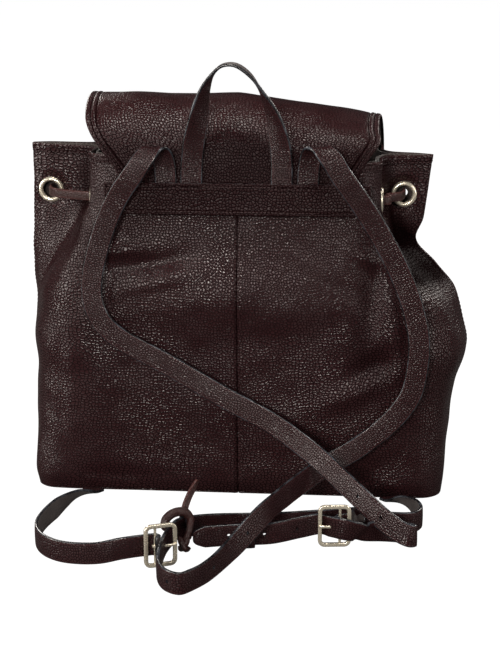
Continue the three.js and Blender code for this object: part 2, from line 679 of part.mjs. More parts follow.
// The lace's route on one side, from the centre of the back to the front centre eyelet.
function laceSide(side) {
  const s = side === "left" ? -1 : 1;
  const ear = EAR_EYELET[side];
  const ridge = RIDGE[side];
  return [
    [[s * 60, -57], [0, -1]],
    [[s * (ridge - 22), -55.4], [0, -1]],
    [[s * (ridge - 8), -49], [0.5 * s, -1]],
    [[s * ridge, -44], [0.2 * s, -1]],
    [[s * (ridge + 8), -42], [0.3 * s, -1]],
    [[s * (ear - 14), -33], [0.5 * s, -1]],
    [[s * (ear - 3), -23], [1 * s, -0.8]],
    [[s * ear, -11], [s, 0]],
    [[s * ear, -3.5], [s, 0]],
    [[s * ear, 4], [s, 0]],
    [[s * (ear - 3), 17], [s, 0.8]],
    [[s * (ear - 14), 27], [0.5 * s, 1]],
    [[s * (ridge + 8), 35], [0.3 * s, 1]],
    [[s * ridge, 37], [0.2 * s, 1]],
    [[s * (ridge - 8), 41], [0.5 * s, 1]],
    [[s * (ridge - 24), 48.6], [0.2 * s, 1]],
    [[s * 62, 50.4], [0, 1]],
    [[s * 38, 50.4], [0, 1]],
    [[s * 28, 52], [s, 1]],
    [[s * 24, 57.2], [s, 0]],
    [[s * 24, 62.6], [s, 0]],
  ].map(([[x, y], [nx, ny]]) => [[x, y, Z], [nx, ny, 0]]);
}

// A loose end of the lace: out of its front eyelet and down the front.
function laceTail(side) {
  const s = side === "left" ? -1 : 1;
  return [
    [[s * 24, 63.2, 243], [0, 0, 1]],
    [[s * 23.8, 66.2, 242.2], [0, 0.5, 1]],
    [[s * 22.8, 68.6, 238.8], [0, 1, 0.5]],
    [[s * 18.4, 69.4, 233], [0, 1, 0]],
    [[s * 11.6, 69.4, 228.4], [0, 1, 0]],
    [[s * 8.8, 69.4, 223], [0, 1, 0]],
    [[s * 8.6, 69.4, 214], [0, 1, 0]],
    [[s * 8.6, 69.4, 198], [0, 1, 0]],
    [[s * 8.8, 69.5, 180], [0, 1, 0]],
    [[s * 11, 70.2, 170.5], [0, 1, 0]],
    [[s * 14.6, 71.4, 162.2], [0, 1, 0]],
  ];
}

function buildDrawstring() {
  const left = laceSide("left").reverse();
  const right = laceSide("right");
  add("drawstring", strip([...left, ...right], LACE_WIDTH, LACE_THICKNESS, 96), "lace");
  for (const side of ["left", "right"]) {
    const s = side === "left" ? -1 : 1;
    add(`drawstring_tail_${side}`, strip(laceTail(side), LACE_WIDTH, LACE_THICKNESS, 24), "lace");
    const bead = new THREE.CylinderGeometry(2, 2.6, 16, 12).rotateX(Math.PI / 2);
    add(`drawstring_end_${side}`, bead, "gold").position.set(s * 15.4, 71.8, 153.4);
  }
}

// The leather slider that both loose ends run through.
function buildSlider() {
  const block = new THREE.BoxGeometry(32, 5, 12);
  const slots = [-8.6, 8.6].map((x) => new THREE.BoxGeometry(8.7, 3, 20).translate(x, 0, 0));
  add("drawstring_slider", cut(block, ...slots), "strap").position.set(0, 69.4, 209);
}

// ---------------------------------------------------------------- strap keepers and the inner pocket
const KEEPERS = [
  { name: "keeper_left", at: [20, -183.6, 11.4], turn: 0.2 },
  { name: "keeper_right", at: [-28.6, -181.4, 14.6], turn: 1.0 },
];

function buildKeepers() {
  for (const { name, at, turn } of KEEPERS) {
    const shape = roundedLoop(7.4, 21.8, 2);
    shape.holes.push(roundedLoop(5, 19.4, 1));
    const options = { depth: 8, bevelEnabled: false, curveSegments: 3 };
    const loop = new THREE.ExtrudeGeometry(shape, options).translate(0, 0, -4);
    loop.rotateX(Math.PI / 2).rotateZ(Math.PI / 2);
    const keeper = add(name, loop, "strap");
    keeper.position.set(...at);
    keeper.rotation.z = turn;
  }
}

// The loose end of the lace that is tied round the long strap at the right keeper.
function buildTieEnd() {
  const route = [
    [[-29.6, -182, 26.9], [0.3, -1, 0.2]],
    [[-28.4, -178.4, 32], [0.4, -1, 0.2]],
    [[-26.2, -174.6, 37.6], [0.6, -1, 0.2]],
    [[-23.2, -171.6, 43.4], [0.8, -0.9, 0.1]],
    [[-20.6, -170, 48.6], [1, -0.7, 0]],
  ];
  add("tie_end", strip(route, 5.4, LACE_THICKNESS, 14, 9), "lace");
}

// A slip pocket sewn to the lining of the back.
function buildPocket() {
  add("inner_pocket", new THREE.BoxGeometry(150, 1, 105).translate(0, -62.6, 125), "lining");
}

buildBand();
buildStraps();
for (const buckle of BUCKLES) buildBuckle(buckle);
buildFlap();
buildMagnet();
buildDrawstring();
buildSlider();
buildKeepers();
buildTieEnd();
buildPocket();

export default group;
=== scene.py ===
import bpy
import bmesh
import math
import numpy as np
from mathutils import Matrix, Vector


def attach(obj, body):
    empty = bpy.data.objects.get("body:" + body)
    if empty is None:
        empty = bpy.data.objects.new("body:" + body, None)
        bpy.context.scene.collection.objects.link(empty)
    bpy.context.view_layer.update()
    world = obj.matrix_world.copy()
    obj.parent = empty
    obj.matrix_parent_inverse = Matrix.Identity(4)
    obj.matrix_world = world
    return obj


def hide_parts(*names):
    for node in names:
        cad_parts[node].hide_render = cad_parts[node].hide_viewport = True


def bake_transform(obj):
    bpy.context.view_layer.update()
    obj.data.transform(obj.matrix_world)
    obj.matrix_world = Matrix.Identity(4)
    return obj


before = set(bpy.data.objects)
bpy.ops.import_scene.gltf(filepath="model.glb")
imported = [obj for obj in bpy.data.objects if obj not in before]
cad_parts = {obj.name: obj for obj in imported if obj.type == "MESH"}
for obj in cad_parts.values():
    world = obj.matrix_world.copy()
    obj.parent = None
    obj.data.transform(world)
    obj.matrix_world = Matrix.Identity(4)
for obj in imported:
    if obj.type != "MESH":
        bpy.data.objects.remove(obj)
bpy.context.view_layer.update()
MM = 0.001


def place(name, data):
    """A new object in the scene."""
    obj = bpy.data.objects.new(name, data)
    bpy.context.scene.collection.objects.link(obj)
    return obj


def aim(obj, at, target):
    """Puts a camera or light at a point, looking at another."""
    obj.location = at
    obj.rotation_euler = (Vector(target) - Vector(at)).to_track_quat("-Z", "Y").to_euler()


# ---------------------------------------------------------------- camera
camera_data = bpy.data.cameras.new("camera")
camera_data.lens = 88.64
camera_data.sensor_width = 36
camera_data.clip_start = 0.05
camera = place("camera", camera_data)
CAMERA_TARGET = Vector((0.0105, -0.070, 0.141))
AZIMUTH, ELEVATION, DISTANCE = math.radians(5), math.radians(14), 1.3
aim(camera, CAMERA_TARGET + DISTANCE * Vector((
    math.sin(AZIMUTH) * math.cos(ELEVATION),
    -math.cos(AZIMUTH) * math.cos(ELEVATION),
    math.sin(ELEVATION),
)), CAMERA_TARGET)
bpy.context.scene.camera = camera


# ---------------------------------------------------------------- node materials
class Graph:
    """A node material under construction."""

    def __init__(self, name):
        self.material = bpy.data.materials.new(name)
        self.material.use_nodes = True
        self.tree = self.material.node_tree
        self.tree.nodes.clear()
        self.coordinates = self.add("ShaderNodeTexCoord").outputs["Object"]

    def add(self, kind, inputs=None, **settings):
        node = self.tree.nodes.new(kind)
        for key, value in settings.items():
            setattr(node, key, value)
        for key, value in (inputs or {}).items():
            if isinstance(value, bpy.types.NodeSocket):
                self.tree.links.new(value, node.inputs[key])
            else:
                node.inputs[key].default_value = value
        return node

    def noise(self, scale, detail=3.0, rough=0.55):
        return self.add(
            "ShaderNodeTexNoise",
            {"Vector": self.coordinates, "Scale": scale, "Detail": detail, "Roughness": rough},
        ).outputs["Fac"]

    def wave(self, scale, distortion, direction):
        return self.add("ShaderNodeTexWave", {"Vector": self.coordinates, "Scale": scale, "Distortion": distortion},
                        wave_type="BANDS", bands_direction=direction).outputs["Fac"]

    def span(self, value, low, high, to_low=0.0, to_high=1.0, smooth=True):
        return self.add(
            "ShaderNodeMapRange",
            {"Value": value, "From Min": low, "From Max": high, "To Min": to_low, "To Max": to_high},
            interpolation_type="SMOOTHSTEP" if smooth else "LINEAR",
        ).outputs["Result"]

    def maths(self, operation, a, b):
        return self.add("ShaderNodeMath", {0: a, 1: b}, operation=operation).outputs[0]

    def plus(self, a, b):
        return self.maths("ADD", a, b)

    def times(self, a, b):
        return self.maths("MULTIPLY", a, b)

    def mix(self, factor, a, b, blend="MIX"):
        node = self.add("ShaderNodeMix", data_type="RGBA", blend_type=blend)
        for socket, value in ((node.inputs[0], factor), (node.inputs[6], a), (node.inputs[7], b)):
            if isinstance(value, bpy.types.NodeSocket):
                self.tree.links.new(value, socket)
            else:
                socket.default_value = value
        return node.outputs[2]

    def attribute(self, name):
        return self.add("ShaderNodeAttribute", attribute_name=name).outputs["Fac"]

    def bump(self, height, distance):
        node = self.add("ShaderNodeBump", {"Height": height, "Distance": distance, "Strength": 1.0})
        return node.outputs["Normal"]

    def finish(self, color, rough, normal, **others):
        inputs = {"Base Color": color, "Roughness": rough, "Normal": normal}
        inputs.update({key.replace("_", " "): value for key, value in others.items()})
        shader = self.add("ShaderNodeBsdfPrincipled", inputs)
        output = self.add("ShaderNodeOutputMaterial")
        self.tree.links.new(shader.outputs[0], output.inputs[0])
        return self.material


def rgba(r, g, b):
    return (r, g, b, 1.0)


def brighter(color, factor):
    return rgba(*(min(1.0, factor * c) for c in color[:3]))


# what painted shade of strength 1 does to the hide: it takes away this share of the light, and the gloss goes with it
PAINTED_SHADE_DARKENS, PAINTED_SHADE_ROUGHENS, PAINTED_SHADE_DULLS = 0.6, 0.16, 2.2


def pebbled_leather(name, deep, mid, worn, pebble, depth, rough, groove_shade_gloss):
    """Pebbled hide: domed cells with painted shade, dark and dull, in the creases between them, flatter in some places
    than in others.

    pebble is a cell's size and depth its height, in metres; groove_shade_gloss is the specular level of the painted
    shade between the cells.
    """
    g = Graph(name)
    sheet = g.add("ShaderNodeAttribute", attribute_name="grain").outputs["Vector"]
    drift = g.add("ShaderNodeTexNoise", {"Vector": sheet, "Scale": 110.0, "Detail": 1.0}, noise_dimensions="2D")
    centred = g.add("ShaderNodeVectorMath", {0: drift.outputs["Color"], 1: (0.5, 0.5, 0.5)}, operation="SUBTRACT")
    scaled = g.add("ShaderNodeVectorMath", {0: centred.outputs[0], "Scale": 0.0022}, operation="SCALE")
    warped = g.add("ShaderNodeVectorMath", {0: sheet, 1: scaled.outputs[0]}, operation="ADD").outputs[0]
    cells = g.add("ShaderNodeTexVoronoi", {"Vector": warped, "Scale": 1 / pebble, "Randomness": 0.85},
                  feature="DISTANCE_TO_EDGE", voronoi_dimensions="2D").outputs["Distance"]
    dome = g.span(cells, 0.0, 0.4)
    crown_not_shaded = g.span(cells, 0.012, 0.22)
    small = g.add("ShaderNodeTexVoronoi", {"Vector": warped, "Scale": 2.6 / pebble}, feature="DISTANCE_TO_EDGE",
                  voronoi_dimensions="2D")
    fine = g.span(small.outputs["Distance"], 0.0, 0.3)
    pores = g.noise(2600.0, 2.0)
    patches = g.span(g.noise(24.0, 2.0), 0.35, 0.68, 0.66, 1.0)
    relief = g.plus(g.times(dome, patches), g.times(fine, 0.10))
    relief = g.plus(relief, g.times(pores, 0.06))
    normal = g.bump(relief, depth)
    cloudy = g.span(g.noise(11.0, 4.0), 0.3, 0.72, 0.0, 0.5)
    # the creases between the cells take the darkest colour as painted shade
    tone = g.mix(crown_not_shaded, deep, g.mix(cloudy, mid, worn))
    wear_and_sheen = g.times(g.attribute("wear"), g.span(g.noise(160.0, 3.0), 0.3, 0.65, 0.35, 1.0))
    tone = g.mix(wear_and_sheen, tone, brighter(worn, 1.5))
    # painted shade stored on the mesh: it darkens the colour, roughens the hide and takes away its gloss
    painted_shade_amount = g.attribute("painted_shade")
    shade = g.maths("SUBTRACT", 1.0, g.times(painted_shade_amount, PAINTED_SHADE_DARKENS))
    tone = g.mix(1.0, tone, g.add("ShaderNodeCombineColor", {0: shade, 1: shade, 2: shade}).outputs[0], "MULTIPLY")
    gloss = g.plus(g.span(crown_not_shaded, 0.0, 1.0, rough + 0.3, rough, smooth=False),
                   g.span(g.noise(34.0, 3.0), 0.3, 0.7, -0.05, 0.06))
    gloss = g.plus(gloss, g.times(painted_shade_amount, PAINTED_SHADE_ROUGHENS))
    # the specular level falls to groove_shade_gloss in the creases, and further under stored painted shade
    sheen = g.times(g.span(crown_not_shaded, 0.0, 1.0, groove_shade_gloss, 0.46), g.maths("POWER", shade, PAINTED_SHADE_DULLS))
    return g.finish(tone, gloss, normal, Specular_IOR_Level=sheen)


def smooth_leather(name, deep, mid, grain, depth, rough):
    """Plain hide for laces and small trim: fine grain, long faint creases."""
    g = Graph(name)
    cells = g.add("ShaderNodeTexVoronoi", {"Vector": g.coordinates, "Scale": 1 / grain}, feature="DISTANCE_TO_EDGE")
    crown = g.span(cells.outputs["Distance"], 0.0, 0.3)
    relief = g.plus(crown, g.times(g.noise(900.0, 3.0), 0.7))
    tone = g.mix(g.times(crown, g.span(g.noise(70.0, 3.0), 0.3, 0.7, 0.3, 1.0)), deep, mid)
    wear_and_sheen = g.times(g.attribute("wear"), 0.5)
    tone = g.mix(wear_and_sheen, tone, brighter(mid, 2.0))
    gloss = g.span(g.noise(220.0, 3.0), 0.3, 0.7, rough - 0.06, rough + 0.08)
    return g.finish(tone, gloss, g.bump(relief, depth), Specular_IOR_Level=0.42)


def suede(name, deep, mid):
    """The flesh side of the straps."""
    g = Graph(name)
    fibres = g.noise(2200.0, 4.0, 0.7)
    nap = g.noise(240.0, 4.0, 0.65)
    tone = g.mix(g.span(nap, 0.3, 0.7), deep, mid)
    tone = g.mix(g.span(fibres, 0.35, 0.7, 0.0, 0.4), tone, brighter(mid, 1.7))
    height = g.plus(fibres, nap)
    return g.finish(tone, g.span(nap, 0.3, 0.7, 0.8, 0.95), g.bump(height, 0.00022), Specular_IOR_Level=0.2,
                    Sheen_Weight=0.1, Sheen_Roughness=0.6)


def edge_paint(name):
    """The thick, slightly uneven paint on a cut strap edge, with bluish grey patches in places: part rubbed paint, part
    painted sheen.
    """
    g = Graph(name)
    lumps = g.noise(420.0, 3.0)
    # bluish grey in random patches: rubbed paint, and painted sheen of the edge
    wear_and_sheen = g.span(g.noise(95.0, 4.0), 0.42, 0.7)
    tone = g.mix(wear_and_sheen, rgba(0.006, 0.006, 0.008), rgba(0.05, 0.056, 0.068))
    gloss = g.span(lumps, 0.3, 0.7, 0.2, 0.34)
    return g.finish(tone, gloss, g.bump(lumps, 0.0001), Specular_IOR_Level=0.5, Coat_Weight=0.1, Coat_Roughness=0.2)


def thread(name, deep, mid):
    """Waxed sewing thread with a visible twist."""
    g = Graph(name)
    twist = g.wave(900.0, 1.5, "DIAGONAL")
    tone = g.mix(g.span(twist, 0.2, 0.8), deep, mid)
    return g.finish(tone, g.span(twist, 0.0, 1.0, 0.62, 0.45), g.bump(twist, 0.00008), Specular_IOR_Level=0.35,
                    Sheen_Weight=0.15)


def woven(name, deep, mid, pitch):
    """Twill lining cloth."""
    g = Graph(name)
    warp, weft = (g.wave(0.16 / pitch, 0.6, direction) for direction in "XZ")
    slant = g.wave(0.1 / pitch, 0.4, "DIAGONAL")
    weave = g.plus(g.times(warp, weft), g.times(slant, 0.6))
    tone = g.mix(g.span(weave, 0.2, 1.1), deep, mid)
    tone = g.mix(g.span(g.noise(30.0, 4.0), 0.35, 0.7, 0.0, 0.35), tone, deep)
    return g.finish(tone, g.span(weave, 0.0, 1.4, 0.95, 0.75), g.bump(weave, 0.00016), Specular_IOR_Level=0.25,
                    Sheen_Weight=0.3, Sheen_Roughness=0.5)


def plated_metal(name, base, tint, rough):
    """Pale gold plate: fine wipe marks, a little tarnish in patches."""
    g = Graph(name)
    stretched = g.add("ShaderNodeMapping", {"Vector": g.coordinates, "Scale": (900.0, 140.0, 900.0)}).outputs[0]
    wiped = g.add("ShaderNodeTexNoise", {"Vector": stretched, "Scale": 1.0, "Detail": 4.0}).outputs["Fac"]
    patches = g.noise(210.0, 4.0)
    tone = g.mix(g.span(patches, 0.45, 0.75, 0.0, 0.7), base, tint)
    gloss = g.plus(g.span(patches, 0.3, 0.75, rough, rough + 0.08), g.span(wiped, 0.4, 0.7, 0.0, 0.06))
    return g.finish(tone, gloss, g.bump(wiped, 0.000003), Metallic=0.72, Specular_IOR_Level=0.8)


def pressed_board(name):
    """The fibre board that stiffens the base."""
    g = Graph(name)
    fibres = g.noise(700.0, 5.0, 0.7)
    tone = g.mix(g.span(fibres, 0.3, 0.7), rgba(0.16, 0.11, 0.06), rgba(0.3, 0.22, 0.13))
    return g.finish(tone, g.span(fibres, 0.3, 0.7, 0.8, 0.95), g.bump(fibres, 0.0002), Specular_IOR_Level=0.2)


def pale_floor(name):
    """A white sweep, bright to the eye but not enough of a lamp to flatten the leather."""
    g = Graph(name)
    patches = g.noise(3.0, 2.0)
    tone = g.mix(g.span(patches, 0.3, 0.7), rgba(0.08, 0.08, 0.08), rgba(0.1, 0.1, 0.1))
    rough = g.span(patches, 0.3, 0.7, 0.72, 0.8)
    seen = g.add("ShaderNodeLightPath").outputs["Is Camera Ray"]
    return g.finish(tone, rough, g.bump(g.noise(400.0, 2.0), 0.00004), Specular_IOR_Level=0.1,
                    Emission_Color=rgba(1, 1, 1), Emission_Strength=g.times(seen, 1.0))


# darkest, usual and worn tones; the darkest is painted shade in the creases between the pebbles
OXBLOOD = rgba(0.0036, 0.0010, 0.0013), rgba(0.026, 0.0070, 0.0086), rgba(0.033, 0.0098, 0.0108)
LOOK = {
    "body": pebbled_leather("body_leather", *OXBLOOD, pebble=0.0025, depth=0.00022, rough=0.27, groove_shade_gloss=0.03),
    "strap": pebbled_leather("strap_leather", *OXBLOOD, pebble=0.0020, depth=0.00018, rough=0.29, groove_shade_gloss=0.06),
    "lace": smooth_leather("lace_leather", rgba(0.020, 0.006, 0.0055), rgba(0.052, 0.0145, 0.013), grain=0.0012,
                           depth=0.00022, rough=0.38),
    "suede": suede("strap_reverse", rgba(0.026, 0.019, 0.019), rgba(0.056, 0.044, 0.043)),
    "inside": suede("body_reverse", rgba(0.022, 0.012, 0.0115), rgba(0.045, 0.027, 0.025)),
    "edge": edge_paint("edge_paint"),
    "thread": thread("sewing_thread", rgba(0.018, 0.006, 0.007), rgba(0.062, 0.022, 0.024)),
    "cloth": woven("lining_cloth", rgba(0.035, 0.026, 0.024), rgba(0.085, 0.066, 0.06), pitch=0.0007),
    "gold": plated_metal("pale_gold", rgba(0.95, 0.88, 0.72), rgba(0.84, 0.75, 0.57), rough=0.2),
    "board": pressed_board("pressed_board"),
}


# ---------------------------------------------------------------- curves and meshes, in millimetres
def smoothstep(x, low, high):
    t = np.clip((np.asarray(x, float) - low) / (high - low), 0, 1)
    return t * t * (3 - 2 * t)


def bell(x, middle, reach):
    """A soft bump of height 1."""
    return np.exp(-((x - middle) / reach) ** 2)


def zipped(*values):
    """Arrays or numbers side by side, as the last axis of one array."""
    return np.stack(np.broadcast_arrays(*values), -1)


def catmull(points, t, closed=False):
    """Centripetal curve through the points; t runs evenly from one point to the next."""
    P = np.asarray(points, float)
    n = len(P)
    t = np.asarray(t, float)
    if closed:
        q = (t % 1.0) * n
        i = np.floor(q).astype(int)
        w = (q - i)[:, None]
        i = i % n
        p0, p1, p2, p3 = P[(i - 1) % n], P[i], P[(i + 1) % n], P[(i + 2) % n]
    else:
        q = np.clip(t, 0, 1) * (n - 1)
        i = np.clip(np.floor(q).astype(int), 0, n - 2)
        w = (q - i)[:, None]
        Q = np.vstack([2 * P[0] - P[1], P, 2 * P[-1] - P[-2]])
        p0, p1, p2, p3 = Q[i], Q[i + 1], Q[i + 2], Q[i + 3]
    d0, d1, d2 = (
        np.maximum(np.sqrt(np.linalg.norm(b - a, axis=1)), 1e-4)[:, None]
        for a, b in ((p0, p1), (p1, p2), (p2, p3))
    )
    m1 = ((p1 - p0) / d0 - (p2 - p0) / (d0 + d1) + (p2 - p1) / d1) * d1
    m2 = ((p2 - p1) / d1 - (p3 - p1) / (d1 + d2) + (p3 - p2) / d2) * d1
    return p1 + m1 * w + (-3 * p1 + 3 * p2 - 2 * m1 - m2) * w**2 + (2 * p1 - 2 * p2 + m1 + m2) * w**3


def unit(v):
    """Vectors made one long."""
    return v / np.maximum(np.linalg.norm(v, axis=-1, keepdims=True), 1e-9)


def soften(values, passes):
    """Evens out the rows of a table, with the first and last kept."""
    out = np.array(values, float)
    for _ in range(passes):
        out[1:-1] = 0.25 * out[:-2] + 0.5 * out[1:-1] + 0.25 * out[2:]
    return out


def arc_length(points):
    """How far along the line each of its points lies."""
    return np.concatenate([[0], np.cumsum(np.linalg.norm(np.diff(points, axis=0), axis=1))])


def along(points, s, at):
    """Values from a table of points or directions, read at distances along a line; s gives the table's own."""
    return np.stack([np.interp(at, s, points[:, k]) for k in range(points.shape[1])], -1)


def turns(sides, start=0.0):
    """Evenly spread angles for one full turn."""
    return np.linspace(0, 2 * math.pi, sides, endpoint=False) + start


def same(vector, count):
    return np.repeat([vector], count, 0)


def loop_tangents(path):
    return unit(np.roll(path, -1, axis=0) - np.roll(path, 1, axis=0))


def build(name, verts, faces, materials, face_material=None, attributes=None, smooth=True):
    """A mesh object from points in millimetres."""
    mesh = bpy.data.meshes.new(name)
    mesh.from_pydata((np.asarray(verts, float) * MM).tolist(), [], [tuple(int(i) for i in f) for f in faces])
    for look in materials:
        mesh.materials.append(LOOK[look])
    if face_material is not None:
        mesh.polygons.foreach_set("material_index", np.asarray(face_material, np.int32))
    mesh.polygons.foreach_set("use_smooth", [smooth] * len(mesh.polygons))
    for key, values in (attributes or {}).items():
        if key == "grain":
            data = mesh.attributes.new(key, "FLOAT_VECTOR", "POINT").data
            data.foreach_set("vector", (np.asarray(values, float) * MM).astype(np.float32).ravel())
        else:
            mesh.attributes.new(key, "FLOAT", "POINT").data.foreach_set("value", np.asarray(values, np.float32))
    mesh.validate()
    return place(name, mesh)


def apply_modifiers(obj):
    bpy.context.view_layer.update()
    graph = bpy.context.evaluated_depsgraph_get()
    mesh = bpy.data.meshes.new_from_object(obj.evaluated_get(graph), preserve_all_data_layers=True, depsgraph=graph)
    old = obj.data
    obj.modifiers.clear()
    obj.data = mesh
    bpy.data.meshes.remove(old)


def round_edges(obj, width, segments=2):
    bevel = obj.modifiers.new("round", "BEVEL")
    bevel.width = width * MM
    bevel.segments = segments
    bevel.limit_method = "ANGLE"
    bevel.angle_limit = math.radians(50)
    bevel.use_clamp_overlap = True
    apply_modifiers(obj)


def punch(obj, cutters):
    """Cuts holes with the cutter objects, and removes them."""
    for cutter in cutters:
        knife = obj.modifiers.new("punch", "BOOLEAN")
        knife.operation = "DIFFERENCE"
        knife.solver = "EXACT"
        knife.object = cutter
    apply_modifiers(obj)
    for cutter in cutters:
        bpy.data.objects.remove(cutter, do_unlink=True)


def rework(obj, *steps):
    """Runs steps on an object's mesh, then turns its faces outwards."""
    work = bmesh.new()
    work.from_mesh(obj.data)
    for step in steps:
        step(work)
    bmesh.ops.recalc_face_normals(work, faces=work.faces)
    work.to_mesh(obj.data)
    work.free()


def peg(centre, u, v, axis, radius, reach, sides):
    """A round cutter that stands out both ways along its axis."""
    a = turns(sides)
    ring = centre + radius * (np.cos(a)[:, None] * u + np.sin(a)[:, None] * v)
    faces = [tuple(range(sides))[::-1], tuple(range(sides, 2 * sides))]
    faces += [(i, (i + 1) % sides, sides + (i + 1) % sides, sides + i) for i in range(sides)]
    cutter = build("cutter", np.concatenate([ring - reach * axis, ring + reach * axis]), faces, ["edge"], smooth=False)
    rework(cutter)
    return cutter


def slab(name, outer, inner, materials, closed=False, attributes=None, bevel=0.0, grain=None):
    """A closed solid between two grids of points, rows by columns. materials: outer, inner, rim.

    grain says where each point lies on the hide; if it isn't given, it is measured along the outer grid.
    """
    R, C = outer.shape[:2]
    verts = np.concatenate([outer.reshape(-1, 3), inner.reshape(-1, 3)])
    o = np.arange(R * C).reshape(R, C)
    i = o + R * C
    nxt, i_nxt = np.roll(o, -1, axis=1), np.roll(i, -1, axis=1)
    cols = C if closed else C - 1
    a, b = o[:-1, :cols], nxt[:-1, :cols]
    c, d = nxt[1:, :cols], o[1:, :cols]
    front = zipped(a, b, c, d).reshape(-1, 4)
    back = zipped(b, a, d, c).reshape(-1, 4) + R * C
    rim = [
        zipped(i[0, :cols], i_nxt[0, :cols], nxt[0, :cols], o[0, :cols]),
        zipped(o[-1, :cols], nxt[-1, :cols], i_nxt[-1, :cols], i[-1, :cols]),
    ]
    if not closed:
        rim.append(zipped(i[:-1, 0], o[:-1, 0], o[1:, 0], i[1:, 0]))
        rim.append(zipped(o[:-1, -1], i[:-1, -1], i[1:, -1], o[1:, -1]))
    rim = np.concatenate(rim)
    faces = np.concatenate([front, back, rim])
    kinds = [0] * len(front) + [1] * len(back) + [2] * len(rim)
    both = {k: np.concatenate([np.ravel(v), np.ravel(v)]) for k, v in (attributes or {}).items()}
    if grain is None:
        wide = np.linalg.norm(np.diff(outer, axis=1), axis=2).mean(axis=0)
        high = np.linalg.norm(np.diff(outer, axis=0), axis=2).mean(axis=1)
        run, rise = np.meshgrid(np.append(0, np.cumsum(wide)), np.append(0, np.cumsum(high)))
        grain = zipped(run, rise, 0)
    both["grain"] = np.concatenate([grain.reshape(-1, 3)] * 2)
    obj = build(name, verts, faces, materials, kinds, both)
    if bevel:
        round_edges(obj, bevel)
    return obj


def sweep(name, centres, across, normal, section, materials, kinds, closed=False, scale=None, attributes=None):
    """A tube of the given section, a list of (across, out) in millimetres, along a line of points."""
    n, k = len(centres), len(section)
    sec = np.asarray(section, float)
    widths = np.ones(n) if scale is None else np.asarray(scale, float)
    rings = (centres[:, None] + across[:, None] * (sec[None, :, :1] * widths[:, None, None])
             + normal[:, None] * sec[None, :, 1:])
    idx = np.arange(n * k).reshape(n, k)
    nr = np.roll(idx, -1, axis=0) if closed else idx[1:]
    base = idx if closed else idx[:-1]
    quads = zipped(base, np.roll(base, -1, axis=1), np.roll(nr, -1, axis=1), nr).reshape(-1, 4)
    faces = [tuple(q) for q in quads]
    mats = list(kinds) * len(base)
    if not closed:
        faces += [tuple(idx[0][::-1]), tuple(idx[-1])]
        mats += [max(kinds), max(kinds)]
    values = {key: np.tile(v, n) for key, v in (attributes or {}).items()}
    run, girth = np.meshgrid(arc_length(centres), arc_length(sec), indexing="ij")
    values["grain"] = zipped(run, girth, 0).reshape(-1, 3)
    obj = build(name, rings.reshape(-1, 3), faces, materials, mats, values)
    rework(obj)
    return obj


def merge(name, parts):
    """One object from several, materials kept."""
    bpy.ops.object.select_all(action="DESELECT")
    for part in parts:
        part.select_set(True)
    bpy.context.view_layer.objects.active = parts[0]
    bpy.ops.object.join()
    parts[0].name = parts[0].data.name = name
    return parts[0]


STITCH_SIDES, STITCH_RINGS = 8, 6


def unit_ball():
    """Points and faces of a low ball whose poles lie on the x axis."""
    points, faces = [[-1, 0, 0]], []
    for a in np.linspace(0, math.pi, STITCH_RINGS + 1)[1:-1]:
        points += [[-math.cos(a), math.sin(a) * math.cos(p), math.sin(a) * math.sin(p)] for p in turns(STITCH_SIDES)]
    points = np.array(points + [[1, 0, 0]])
    for s in range(STITCH_SIDES):
        t = (s + 1) % STITCH_SIDES
        rows = [(1 + r * STITCH_SIDES + s, 1 + r * STITCH_SIDES + t) for r in range(STITCH_RINGS - 1)]
        faces.append((0, *rows[0][::-1]))
        faces += [(a, b, d, c) for (a, b), (c, d) in zip(rows, rows[1:])]
        faces.append((*rows[-1], len(points) - 1))
    return points, faces


def stitches(name, line, up, pitch=3.2, size=(2.5, 0.75, 0.6), lift=0.05):
    """A row of stitches along a line of points, in one mesh; up is the way the surface faces at each point."""
    s = arc_length(line)
    at = np.arange(pitch * 0.6, s[-1] - pitch * 0.4, pitch)
    face = unit(along(up, s, at))
    centres = along(line, s, at) + face * lift
    ahead = unit(along(line, s, np.minimum(at + 0.5, s[-1])) - along(line, s, np.maximum(at - 0.5, 0)))
    side = unit(np.cross(face, ahead))
    top = np.cross(ahead, side)
    ball, faces = unit_ball()
    local = ball * (np.asarray(size, float) / 2)
    verts = (centres[:, None] + ahead[:, None] * local[None, :, :1] + side[:, None] * local[None, :, 1:2]
             + top[:, None] * local[None, :, 2:])
    every = [tuple(i + k * len(ball) for i in f) for k in range(len(centres)) for f in faces]
    obj = build(name, verts.reshape(-1, 3), every, ["thread"])
    rework(obj)
    return obj


def seam(name, start, end, count, face, pitch, **more):
    """A straight row of stitches."""
    return stitches(name, np.linspace(start, end, count), same(face, count), pitch, **more)


def ride(obj, body, slot, *nodes):
    """Hides the CAD nodes that a piece stands for, and attaches it to the body it moves with; slot is not used."""
    if nodes:
        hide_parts(*nodes)
    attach(obj, body)


# ---------------------------------------------------------------- the body's outline, as in the CAD
LEVELS = np.array([
    # z, left, right, back, front, corner, pleat
    [0, 170.5, 167, -62, 62, 20, 0],
    [13, 173.5, 169, -67, 66, 28, 0],
    [40, 173.5, 171, -68.2, 68.3, 37, 0],
    [65, 174.5, 172.5, -69, 70, 44, 0],
    [92, 175, 178, -69.6, 70, 47, 0.01],
    [118, 176, 186, -70, 70, 50, 0.02],
    [140, 176, 182, -69.7, 68.8, 50, 0.07],
    [165, 177, 174.5, -69, 67, 50, 0.15],
    [185, 177.5, 159, -68.2, 65.2, 48.5, 0.33],
    [205, 178, 143, -67, 63, 46, 0.55],
    [222, 177, 148, -66.2, 61, 43, 0.75],
    [243, 176, 151, -65, 58, 40, 0.95],
    [285, 176, 155.5, -62, 54, 40, 1],
], float)
RIDGE = {"left": 118, "right": 112}
EAR_EYELET = {"left": 160, "right": 131}
LACE_Z = 243.0
RIM_HEIGHT, RIM_TILT = 277.5, 3.0
KEYS = 28  # points in a ring of the outline; keys 0 and 28 are the middle of the back


